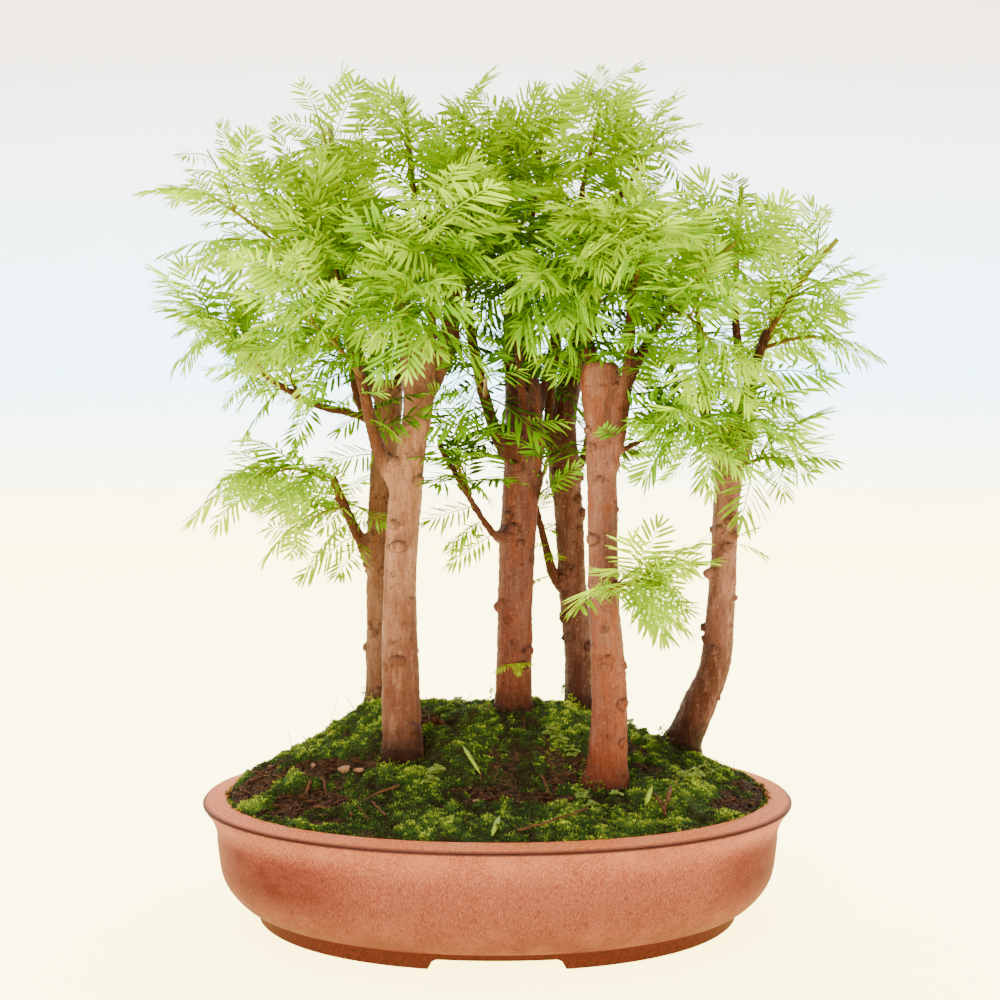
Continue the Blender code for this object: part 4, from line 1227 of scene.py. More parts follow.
    def cover(
        self, bm: BMesh, rule: Callable[[float, float], float], margin: float, count: int, sides: int
    ) -> list[BMVert]:
        """Lay rings over the whole mound at a height rule.

        Args:
            bm: mesh to add to.
            rule: height at x and y.
            margin: how far it stays inside the rim.
            count: number of rings.
            sides: points on each ring.

        Returns:
            The outermost ring.
        """
        half_x, half_y = TRAY_INNER[0][0] - margin, TRAY_INNER[0][1] - margin
        rings = []
        for step in range(count):
            share = 1.0 - step / count
            rings.append(add_oval(bm, half_x * share, half_y * share, rule, sides))
        for outer, inner in zip(rings, rings[1:]):
            bridge(bm, outer, inner)
        close_ring(bm, rings[-1], rule(0.0, 0.0))
        return rings[0]

    def build_soil(self, earth: Material) -> None:
        """Soil down to the tray's floor with a rough top."""
        bm = bmesh.new()
        lower = self.cover(bm, self.soil_top, self.soil_margin, self.soil_rings, self.soil_sides)
        for half_x, half_y, z in TRAY_INNER[1:]:
            size = (half_x - self.wall_gap, half_y - self.wall_gap)
            ring = add_oval(bm, *size, min(z, 47.0) + 0.4, self.soil_sides)
            bridge(bm, lower, ring)
            lower = ring
        close_ring(bm, lower)
        face_outward(bm)
        self.workshop.make("soil_mound", bm, (earth,), "earth", ("soil",), True)

    def build_moss(self, moss: Material) -> None:
        """Skin of moss cushions."""
        bm = bmesh.new()
        rim = self.cover(bm, self.moss_top, self.moss_margin, self.rings, self.sides)
        half_x, half_y = TRAY_INNER[1][0] - 0.6, TRAY_INNER[1][1] - 0.6
        under = add_oval(bm, half_x, half_y, self.under_moss, self.sides)
        bridge(bm, rim, under)
        close_ring(bm, under, 50.0)
        face_outward(bm)
        layer = bm.verts.layers.float.new(TONE)
        for vert in bm.verts:
            vert[layer] = 0.12 + 0.62 * self.tone(vert.co.x, vert.co.y)
        self.workshop.make("moss_skin", bm, (moss,), "moss_green", ("moss",), True)

    def scatter(self, draw: Draw, count: int, reach: float) -> Iterable[Pair]:
        """Seeded places inside the rim."""
        half_x, half_y = TRAY_INNER[0][0] - reach, TRAY_INNER[0][1] - reach
        for _ in range(count):
            share = math.sqrt(draw.random())
            x, y = oval_point(half_x, half_y, draw.uniform(0.0, math.tau))
            yield x * share, y * share

    def sprig(self) -> Stencil:
        """One moss sprig: three pointed leaves."""
        bm = bmesh.new()
        tones: list[float] = []
        for leaf in range(3):
            angle = leaf * math.tau / 3.0
            out = Vector((math.cos(angle), math.sin(angle), 0.0))
            side = Vector((-out.y, out.x, 0.0)) * 0.3
            spots = (out * 0.35 + side + Z_AXIS * 0.4, out * 0.35 - side + Z_AXIS * 0.4,
                     out * 0.2 - Z_AXIS * 0.15, out + Z_AXIS * 1.05)
            left, right, low, end = [bm.verts.new(spot) for spot in spots]
            for corners in ((left, right, end), (right, low, end), (low, left, end), (left, low, right)):
                bm.faces.new(corners)
            # Painted shade at each leaf's foot and painted light at its tip.
            tones += [0.0, 0.0, -0.3, 0.32]
        return Stencil.from_bmesh(bm, tones)

    def collars(self, draw: Draw) -> Iterable[Vector]:
        """Places of sprigs that climb a little up the foot of each trunk."""
        for tree in TREES.values():
            x, y, _, radius = tree.trunk[0]
            for _ in range(self.collar_sprigs):
                angle = draw.uniform(0.0, math.tau)
                climb = draw.random() ** 2.0 * (1.0 + math.cos(angle - 2.6))
                out = radius * (1.14 - 0.14 * climb)
                spot_x, spot_y = x + out * math.cos(angle), y + out * math.sin(angle)
                yield Vector((spot_x, spot_y, self.moss_top(spot_x, spot_y) + 5.0 * climb))

    def fringe(self, draw: Draw) -> Iterable[Vector]:
        """Places of sprigs that lean over the rim's inner edge."""
        for _ in range(self.fringe_sprigs):
            angle = draw.uniform(0.0, math.tau)
            ragged = noise.noise(Vector((5.0 * math.cos(angle), 5.0 * math.sin(angle), 1.0)))
            if ragged < -0.1:
                continue
            out = draw.uniform(-1.5, 0.8 + 2.0 * ragged)
            x, y = oval_point(TRAY_INNER[0][0] + out, TRAY_INNER[0][1] + out, angle)
            yield Vector((x, y, self.edge - 0.6 + draw.uniform(0.0, 0.8)))

    def build_sprigs(self, moss: Material) -> None:
        """Moss sprigs over the cushions, in pieces of moderate size."""
        draw = random.Random(self.sprig_seed)
        sprig = self.sprig()
        for part in range(self.sprig_pieces):
            bm = bmesh.new()
            layer = bm.verts.layers.float.new(TONE)
            spots = [
                Vector((x, y, self.moss_top(x, y) - 0.3))
                for x, y in self.scatter(draw, self.sprigs // self.sprig_pieces, 1.0)
                if self.mossiness(x, y) > draw.uniform(0.0, 0.4)
            ]
            if part == 0:
                spots += list(self.collars(draw))
                spots += list(self.fringe(draw))
            for spot in spots:
                matrix = random_turn(spot, draw) @ Matrix.Scale(draw.uniform(0.65, 1.3), 4)
                sprig.stamp(bm, layer, matrix, self.tone(spot.x, spot.y) + draw.uniform(-0.3, 0.3))
            self.workshop.make(f"moss_sprigs_{part + 1}", bm, (moss,), "moss_green")

    def build_grains(self, earth: Material) -> None:
        """Loose grains on the bare patches and between the cushions."""
        draw = random.Random(self.grain_seed)
        bm = bmesh.new()
        for x, y in self.scatter(draw, self.grains, 3.0):
            if self.mossiness(x, y) > 0.3:
                continue
            add_chip(bm, Vector((x, y, self.soil_top(x, y))), draw.uniform(0.35, 1.3), 0.7, draw)
        self.workshop.make("soil_grains", bm, (earth,), "earth")


# Name, light and dark colour, grain and roughness of what lies on the moss.
LITTER_FINISHES = (
    ("cut_needle", (0.46, 0.62, 0.06), (0.40, 0.55, 0.05), 0.4, 0.45),
    ("dead_twig", (0.19, 0.075, 0.036), (0.06, 0.020, 0.011), 0.7, 0.8),
    ("bark_chip", (0.11, 0.032, 0.015), (0.03, 0.010, 0.006), 0.6, 0.85),
    ("pale_chip", (0.46, 0.22, 0.13), (0.25, 0.11, 0.06), 0.6, 0.8),
    ("liverwort", (0.24, 0.30, 0.060), (0.12, 0.17, 0.025), 0.5, 0.55),
)


@dataclass
class FallenLitter:
    """What lies on the moss: cuttings, dead twigs, bark chips, liverworts and stray hairs."""

    workshop: Workshop
    mound: PlantedMound
    cuttings: tuple[tuple[Point, Point], ...] = (
        ((-16.2, -12.1, 77.5), (-7.2, -34.5, 69.4)), ((1.2, -72.1, 60.2), (-1.9, -91, 57.2)),
        ((62, -60, 61), (66, -52, 68)),
    )
    twigs: tuple[tuple[float, tuple[Pair, ...]], ...] = (
        (0.75, ((-76.9, -56.4), (-64.8, -51.8), (-52.6, -46.3), (-42.2, -41.5))),
        (0.55, ((-64.8, -51.8), (-62.0, -60.0), (-60.2, -66.0))),
        (0.8, ((-95.0, -48.0), (-86.1, -38.4), (-82.4, -31.0))),
        (0.6, ((-78.6, -24.0), (-76.0, -32.0), (-74.8, -38.1))),
        (0.4, ((-7.6, -31.3), (-7.0, -42.0), (-5.6, -51.8))),
        (0.5, ((18.8, -34.1), (24.0, -45.0), (26.6, -54.9))),
        (0.7, ((67.7, -47.9), (70.0, -55.0), (70.3, -61.5))),
        (0.8, ((75.0, -42.6), (73.0, -51.0), (70.2, -59.0))),
        (0.55, ((8.0, -88.0), (19.3, -81.8), (32.0, -71.0), (38.0, -62.0))),
        (0.5, ((-53.1, -53.4), (-50.0, -60.0), (-46.2, -68.5))),
        (0.6, ((48.0, 64.0), (60.0, 58.0), (72.0, 56.0))),
        (0.5, ((-20.0, 74.0), (-34.0, 70.0), (-46.0, 74.0))),
    )
    liverworts: tuple[Point, ...] = (
        (-26.8, -28.4, 3.6), (-29.5, -36, 3), (29.3, 2.1, 3.6), (34.4, -7.4, 3.2), (28.1, -50.3, 3.6),
        (39.3, -55, 3), (37, -45.4, 3.4), (90.1, -14.1, 4.2), (96.7, -4, 3.6), (50.6, -46.6, 2.8),
        (-120.5, 18, 2.6), (24, 8, 2.8), (84, -20, 2.8), (-20, 60, 3.2), (66, 40, 3),
    )
    # Hairs that are placed one by one, as x, y and height.
    tall_hairs: tuple[Point, ...] = (
        (-82, 20, 18), (-97, 4, 11), (-36, 14, 9), (-30, 12, 8),
    )
    # Pale chips, as x, y and size.
    pale_chips: tuple[Point, ...] = ((-68.9, -18.9, 3.4), (-62.5, -20.5, 2.4))
    short_hairs: int = 26
    twiglets: int = 110
    chips: int = 190
    clump: int = 34
    clump_radius: float = 6.5
    lobes: int = 20
    twig_seed: int = 51
    chip_seed: int = 53
    leaf_seed: int = 57

    def build_cuttings(self, finish: Material) -> None:
        """Two clipped needles lying on the moss and one standing in it."""
        bm = bmesh.new()
        for start, end in self.cuttings:
            reach = Vector(end) - Vector(start)
            ahead = reach.normalized()
            up = Vector((0.15, -0.45, 1.0))
            up = (up - ahead * ahead.dot(up)).normalized()
            add_needle(bm, Vector(start), ahead, up, reach.length, 2.3, 0.04)
        face_outward(bm)
        self.workshop.make("fallen_cuttings", bm, (finish,), "leaf_green", smooth=True)

    def lay_twigs(self, bm: BMesh, draw: Draw) -> None:
        """Dead twigs that follow the ground."""
        for radius, points in self.twigs:
            rows = [Vector((x, y, self.mound.moss_top(x, y) + 1.0 + radius)) for x, y in points]
            line = smooth_path(rows, 5)
            line = [
                spot + Vector((draw.uniform(-0.4, 0.4), 0.0, draw.uniform(-0.2, 0.4))) for spot in line
            ]
            add_tube(bm, line, [radius * draw.uniform(0.75, 1.1) for _ in line], 6)

    def stand_hairs(self, bm: BMesh, draw: Draw) -> None:
        """Stray hairs that stand up from the moss."""
        hairs = list(self.tall_hairs)
        hairs += [
            (x, y, draw.uniform(4.0, 9.0)) for x, y in self.mound.scatter(draw, self.short_hairs, 6.0)
        ]
        for x, y, reach in hairs:
            foot = Vector((x, y, self.mound.moss_top(x, y) - 0.5))
            lean = Vector((draw.uniform(-0.8, 0.5), draw.uniform(-0.5, 0.5), 1.0)).normalized()
            bend = Vector((draw.uniform(-0.5, 0.5), draw.uniform(-0.3, 0.3), 0.0)) * reach * 0.5
            middle = foot + lean * reach * 0.5 + bend * 0.3
            line = smooth_path([foot, middle, foot + lean * reach + bend], 4)
            add_tube(bm, line, [0.26 - 0.1 * index / len(line) for index in range(len(line))], 4)

    def strew_twiglets(self, bm: BMesh, draw: Draw) -> None:
        """Fine dead twiglets on the bare soil."""
        placed = 0
        for x, y in self.mound.scatter(draw, 3000, 5.0):
            if placed == self.twiglets or self.mound.mossiness(x, y) > 0.35:
                continue
            placed += 1
            angle, reach = draw.uniform(0.0, math.tau), draw.uniform(1.5, 4.5)
            across = Vector((math.cos(angle), math.sin(angle), draw.uniform(-0.15, 0.3))) * reach
            middle = Vector((x, y, self.mound.soil_top(x, y) + 0.9))
            add_tube(bm, [middle - across, middle + Z_AXIS * 0.4, middle + across], [0.24, 0.3, 0.2], 4)

    def build_twigs(self, finish: Material) -> None:
        """Dead twigs, stray hairs and twiglets as one piece."""
        draw = random.Random(self.twig_seed)
        bm = bmesh.new()
        for step in (self.lay_twigs, self.stand_hairs, self.strew_twiglets):
            step(bm, draw)
        self.workshop.make("dead_twigs", bm, (finish,), "bark", smooth=True)

    def build_chips(self, brown: Material, pale: Material) -> None:
        """Bark chips on the bare soil, a clump behind the front left tree and a few pale ones."""
        draw = random.Random(self.chip_seed)
        bm = bmesh.new()
        placed = 0
        for x, y in self.mound.scatter(draw, 4000, 6.0):
            if placed == self.chips:
                break
            if self.mound.mossiness(x, y) > 0.2:
                continue
            placed += 1
            size = draw.uniform(0.6, 2.0)
            spot = Vector((x, y, self.mound.soil_top(x, y) + 0.5))
            add_chip(bm, spot, size, 0.4, draw, placed % 11 == 0)
        for _ in range(self.clump):
            angle, out = draw.uniform(0.0, math.tau), self.clump_radius * math.sqrt(draw.random())
            x, y = -31.0 + out * math.cos(angle), 12.0 + 0.7 * out * math.sin(angle)
            lift = 5.5 * (1.0 - (out / self.clump_radius) ** 2) * draw.random()
            spot = Vector((x, y, self.mound.soil_top(x, y) + lift))
            add_chip(bm, spot, draw.uniform(1.2, 2.4), 0.7, draw)
        for x, y, size in self.pale_chips:
            add_chip(bm, Vector((x, y, self.mound.moss_top(x, y) + 0.8)), size, 0.5, draw, True)
        self.workshop.make("bark_chips", bm, (brown, pale), "bark")

    def build_liverworts(self, finish: Material) -> None:
        """Small lobed rosettes, each a few flat scalloped leaves."""
        draw = random.Random(self.leaf_seed)
        bm = bmesh.new()
        for x, y, size in self.liverworts:
            for leaf in range(4):
                angle = leaf * math.tau / 4.0 + draw.uniform(-0.5, 0.5)
                middle_x = x + size * 0.55 * math.cos(angle)
                middle_y = y + size * 0.55 * math.sin(angle)
                base = self.mound.moss_top(middle_x, middle_y) + 1.5
                hinge = Vector((-math.sin(angle), math.cos(angle), 0.0))
                tilt = Matrix.Rotation(draw.uniform(0.15, 0.6), 4, hinge)
                matrix = Matrix.Translation((middle_x, middle_y, base)) @ tilt
                reach = size * draw.uniform(0.55, 0.8)
                disc = bmesh.ops.create_circle(bm, cap_ends=True, segments=self.lobes, radius=1.0)
                disc = disc["verts"]
                face = disc[0].link_faces[0]
                for index, vert in enumerate(disc):
                    turn = index * math.tau / self.lobes
                    lobe = reach * (1.0 + 0.22 * math.cos(4.0 * turn + angle))
                    vert.co = Vector((lobe * math.cos(turn), lobe * math.sin(turn),
                                      0.25 * math.sin(3.0 * turn)))
                poked = bmesh.ops.poke(bm, faces=[face])
                poked["verts"][0].co.z = -0.35
                moved = bmesh.ops.extrude_face_region(bm, geom=poked["faces"])["geom"]
                fresh = moved_verts(moved)
                for vert in fresh:
                    vert.co.z -= 0.4
                bmesh.ops.transform(bm, matrix=matrix, verts=disc + poked["verts"] + fresh)
        face_outward(bm)
        self.workshop.make("liverworts", bm, (finish,), "moss_green")

    def build(self) -> None:
        """Every kind of litter."""
        cut, dead, brown, pale, green = [PlainGrainFinish(*row).build() for row in LITTER_FINISHES]
        self.build_cuttings(cut)
        self.build_twigs(dead)
        self.build_chips(brown, pale)
        self.build_liverworts(green)


@dataclass
class BonsaiTree:
    """One tree's wood: trunk, branches, knots and cut ends as one fused body."""

    workshop: Workshop
    name: TreeName
    depth: float = 26.0
    voxel: float = 1.15
    sides: int = 20
    knot_gap: float = 8.0
    # Bark relief: height of each noise, and its scales across and along the trunk.
    relief: tuple[Point, ...] = (
        (0.5, 0.12, 0.05), (0.22, 0.5, 0.09), (0.16, 0.2, 0.7), (0.32, 0.42, 0.36),
    )

    def build(self) -> None:
        """Build the wood and dress it."""
        shape = TREES[self.name]
        draw = random.Random(self.name.value)
        x, y, z, radius = shape.trunk[0]
        rows = ((x, y, z - self.depth, radius * 0.72), *shape.trunk)
        finish = BarkFinish(f"bark_{self.name.value}", *BARKS[self.name], ground=float(z))
        bm = bmesh.new()
        path = smooth_path(rows, 4)
        self.add_body(bm, path, draw)
        for points, foot, tip in shape.branches:
            line = smooth_path(points, 4)
            count = len(line) - 1
            radii = [
                (foot + (tip - foot) * index / count) * (1.0 + 0.07 * draw.uniform(-1, 1))
                for index in range(count + 1)
            ]
            add_tube(bm, line, radii, 10)
        for spot, ahead, size in shape.stubs:
            middle, way = Vector(spot), Vector(ahead).normalized() * size
            line = [middle - way, middle, middle + way * 0.7]
            add_tube(bm, line, (size * 1.35, size * 1.1, size * 0.72), 10)
        knots = self.knots(draw)
        for spot, size in knots:
            bmesh.ops.create_icosphere(
                bm, subdivisions=2, radius=size * 0.75, matrix=Matrix.Translation(spot))
        face_outward(bm)
        wood = self.workshop.link(f"wood_{self.name.value}", bm, (finish.build(),))
        remesh = wood.modifiers.new("fuse", "REMESH")
        remesh.mode = "VOXEL"
        remesh.voxel_size = self.voxel * MM
        apply_modifiers(wood)
        self.roughen(wood, knots)
        wood.data.shade_smooth()
        self.workshop.declare(wood, "bark", (f"tree_{self.name.value}",))

    def add_body(self, bm: BMesh, path: Line, draw: Draw) -> None:
        """Trunk whose section is a little fluted near the ground."""
        phase = draw.uniform(0.0, math.tau)
        verts = add_tube(bm, [row.to_3d() for row in path], [row[3] for row in path], self.sides)
        for index, row in enumerate(path):
            flare = max(0.0, 1.0 - index / 14.0)
            middle = row.to_3d()
            for corner in range(self.sides):
                vert = verts[index * self.sides + corner]
                angle = corner * math.tau / self.sides
                swell = 0.1 * flare * math.sin(3.0 * angle + phase)
                swell += 0.04 * math.sin(2.0 * angle + phase + index * 0.3)
                vert.co = middle + (vert.co - middle) * (1.0 + swell)

    def knots(self, draw: Draw) -> list[tuple[Vector, float]]:
        """Places and sizes of the old leaf scars on the trunk's skin."""
        path = TREES[self.name].trunk
        made = []
        for below, above in zip(path, path[1:]):
            for index in range(max(1, round((above[2] - below[2]) / self.knot_gap))):
                share = draw.random()
                x, y, z, radius = (low + (high - low) * share for low, high in zip(below, above))
                angle = draw.uniform(-2.7, -0.4) if index % 2 == 0 else draw.uniform(0.0, math.tau)
                spot = Vector((x + radius * math.cos(angle), y + radius * math.sin(angle), z))
                made.append((spot, draw.uniform(0.9, 2.7)))
        return made

    def scar(self, spot: Vector, knots: Knots) -> Pair:
        """Relief and darkness that the leaf scars give at a place on the bark."""
        relief, mark = 0.0, 0.0
        for knot, size in knots:
            if abs(spot.z - knot.z) > 5.0:
                continue
            off = spot - knot
            away = math.hypot(off.x, off.y, off.z * 1.5) / size
            if away < 2.2:
                relief += 0.95 * math.exp(-((away - 0.9) / 0.4) ** 2)
                mark = max(mark, math.exp(-((away - 1.4) / 0.25) ** 2), math.exp(-(away / 0.4) ** 2))
        return relief, mark

    def limb(self, spot: Vector) -> float:
        """One on a branch, zero on the trunk."""
        path = TREES[self.name].trunk
        if spot.z >= path[-1][2] + 1.0:
            return 1.0
        for below, above in zip(path, path[1:]):
            if spot.z < above[2] or above is path[-1]:
                share = clamp((spot.z - below[2]) / (above[2] - below[2]))
                x, y, _, radius = (low + (high - low) * share for low, high in zip(below, above))
                away = math.hypot(spot.x - x, spot.y - y) / radius
                return clamp((away - 1.3) / 0.5)
        return 0.0

    def roughen(self, wood: Piece, knots: Knots) -> None:
        """Push the bark in and out: fibres, rings of scars and small swellings."""
        bm = bmesh.new()
        bm.from_mesh(wood.data)
        for _ in range(2):
            bmesh.ops.smooth_vert(
                bm, verts=bm.verts, factor=0.5, use_axis_x=True, use_axis_y=True, use_axis_z=True)
        bm.normal_update()
        seed = 10.0 * list(TreeName).index(self.name)
        scars = bm.verts.layers.float.new("scar")
        limbs = bm.verts.layers.float.new("limb")
        shifts = []
        for vert in bm.verts:
            spot = (vert.co - self.workshop.place.centre) / MM
            x, y, z = spot
            push, vert[scars] = self.scar(spot, knots)
            vert[limbs] = self.limb(spot)
            for height, across, along in self.relief:
                push += height * noise.noise(Vector((x * across, y * across, z * along + seed)))
            shifts.append(vert.normal * push * MM)
        for vert, shift in zip(bm.verts, shifts):
            vert.co += shift
        bm.to_mesh(wood.data)
        bm.free()


@dataclass
class NeedleTwig:
    """One feathery side twig: a fine rachis with opposite flat needles."""

    pairs: int
    length: float
    needle: float
    droop: float
    seed: int
    slim: bool = False

    def rachis(self, along: float) -> Vector:
        """Point of the twig's middle line; it runs along Y and droops in Z."""
        share = along / self.length
        return Vector((0.0, along, -self.droop * self.length * share * share))

    def build(self) -> Stencil:
        """Shape of the twig with a tone from its foot to its tips."""
        draw = random.Random(self.seed)
        bm = bmesh.new()
        tones: list[float] = []
        steps = 2 if self.slim else 4
        stations = SLIM_NEEDLE if self.slim else FULL_NEEDLE
        line = [self.rachis(self.length * 0.97 * index / steps) for index in range(steps + 1)]
        radii = [0.45 - 0.25 * index / steps for index in range(steps + 1)]
        tones += [0.5 for _ in add_tube(bm, line, radii, 3 if self.slim else 4)]
        for pair in range(self.pairs):
            share = (pair + 0.6) / self.pairs
            along = self.length * share ** 0.92
            lean = math.radians(68.0 - 42.0 * share ** 1.7)
            reach = self.needle * (0.6 + 1.2 * share - 1.2 * share * share)
            for hand in (-1.0, 1.0):
                spread = lean + draw.uniform(-0.14, 0.14)
                ahead = Vector((hand * math.sin(spread), math.cos(spread), draw.uniform(-0.18, 0.14)))
                ahead.z -= 1.4 * self.droop * share
                ahead.normalize()
                up = Vector((draw.uniform(-0.35, 0.35), draw.uniform(-0.35, 0.1), 1.0))
                up = (up - ahead * up.dot(ahead)).normalized()
                foot = self.rachis(along + draw.uniform(-0.4, 0.4))
                size = reach * draw.uniform(0.86, 1.1)
                width = draw.uniform(1.9, 2.4) if self.slim else draw.uniform(1.45, 1.9)
                made = add_needle(bm, foot, ahead, up, size, width, draw.uniform(0.04, 0.34), stations)
                fresh = 0.3 + 0.4 * share + draw.uniform(-0.05, 0.05)
                tones += [fresh + 0.24 * index / (len(made) - 1) for index in range(len(made))]
        ahead = (self.rachis(self.length) - self.rachis(self.length * 0.9)).normalized()
        up = (Z_AXIS - ahead * ahead.z).normalized()
        made = add_needle(
            bm, self.rachis(self.length * 0.96), ahead, up, self.needle * 0.6, 1.6, 0.05, stations)
        tones += [0.85] * len(made)
        return Stencil.from_bmesh(bm, tones)


# Single sprays on the wood: place, direction and size.
SPRAYS: dict[TreeName, tuple[tuple[Point, Point, float], ...]] = {
    TreeName.FRONT_LEFT: (
        ((-31, -15, 238), (0.8, -0.6, 0.1), 0.5), ((-31, -16, 228), (0.9, -0.4, -0.3), 0.4),
        ((-38, -32, 276), (0.25, -0.7, -0.3), 0.8), ((-31, -36, 284), (0.7, -0.6, -0.2), 0.8),
        ((-62, -14, 238), (0.9, -0.3, 0.1), 0.5), ((-58, -13, 226), (0.8, -0.5, -0.2), 0.45),
        ((-22, -10, 268), (0.9, -0.3, 0), 0.65), ((-22, -11, 258), (0.8, -0.5, -0.3), 0.5),
    ),
    TreeName.BACK_LEFT: (
        ((-81, 30, 200), (-0.2, -0.6, 0.75), 0.6), ((-78, 32, 192), (0.6, -0.6, 0.4), 0.6),
        ((-72, 36, 178), (-0.8, -0.5, -0.3), 0.9), ((-70, 36, 172), (-0.95, 0, -0.45), 0.85),
        ((-75, 33, 186), (-0.6, -0.7, -0.5), 0.8), ((-60, 35, 212), (-0.7, -0.6, 0), 0.8),
        ((-56, 34, 236), (-0.6, -0.7, -0.2), 0.9),
    ),
    TreeName.CENTRE: (
        ((-20, 10, 202), (0.6, -0.6, -0.1), 0.7), ((-12, 14, 186), (-0.9, -0.4, -0.2), 0.75),
        ((-8, 17, 178), (-0.7, -0.6, -0.45), 0.6), ((-25, 8, 210), (0.9, -0.3, 0.2), 0.8),
        ((-5, 14, 234), (-0.5, -0.85, -0.1), 1.15), ((-5, 14, 238), (0.55, -0.8, -0.15), 1.2),
        ((-5, 14, 232), (0.05, -0.85, -0.45), 1.1), ((8.5, 20, 110), (0.9, -0.4, 0.1), 0.32),
        ((8, 20, 110), (-0.8, -0.5, 0.05), 0.28), ((8.5, 20, 110), (0.3, -0.7, -0.6), 0.25),
        ((14, 14, 226), (0.8, -0.5, 0.1), 0.7), ((2, 18, 216), (-0.6, -0.7, -0.2), 0.6),
    ),
    TreeName.BACK_RIGHT: (
        ((24, 38, 166), (-0.8, -0.5, 0.2), 0.6), ((20, 36, 184), (0.2, -0.6, 0.7), 0.6),
        ((27, 35, 222), (-0.5, -0.8, -0.2), 0.7), ((34, 38, 232), (0.7, -0.7, -0.2), 0.8),
        ((44, 56, 212), (0.8, -0.4, -0.1), 0.7),
    ),
    TreeName.FRONT_RIGHT: (
        ((50, -42, 152), (0.9, -0.25, 0.3), 0.85), ((50, -42, 150), (-0.8, -0.5, 0.2), 0.5),
        ((51, -42, 151), (0.95, -0.2, -0.02), 0.8), ((51, -42, 149), (0.8, -0.4, -0.4), 0.6),
        ((58, -39, 262), (0.8, -0.5, -0.2), 0.8), ((66, -33, 258), (0.5, -0.8, -0.3), 0.85),
        ((86, -26, 233), (0.7, -0.6, -0.1), 0.6), ((82, -27, 231), (-0.3, -0.8, -0.4), 0.5),
        ((41, -25, 262), (-0.8, -0.5, -0.2), 0.8), ((39, -30, 252), (-0.5, -0.8, -0.4), 0.6),
    ),
    TreeName.RIGHT: (
        ((116, 20, 172), (0.9, -0.2, 0.5), 0.55), ((116, 20, 168), (0.9, -0.3, -0.1), 0.45),
        ((108, 19, 212), (-0.6, -0.7, 0.3), 0.65), ((106, 20, 205), (-0.8, -0.5, -0.3), 0.55),
        ((118, 18, 214), (0.8, -0.5, 0), 0.7), ((122, 18, 236), (0.9, -0.4, 0.1), 0.8),
        ((102, 24, 236), (-0.8, -0.5, -0.1), 0.75),
    ),
}


@dataclass
class Growth:
    """The mesh of one leafy piece, its tone layer and its seeded numbers."""

    bm: BMesh
    layer: BMLayerItem
    draw: Draw

    @classmethod
    def start(cls, seed: str) -> Growth:
        """Begin an empty piece."""
        bm = bmesh.new()
        return cls(bm, bm.verts.layers.float.new(TONE), random.Random(seed))


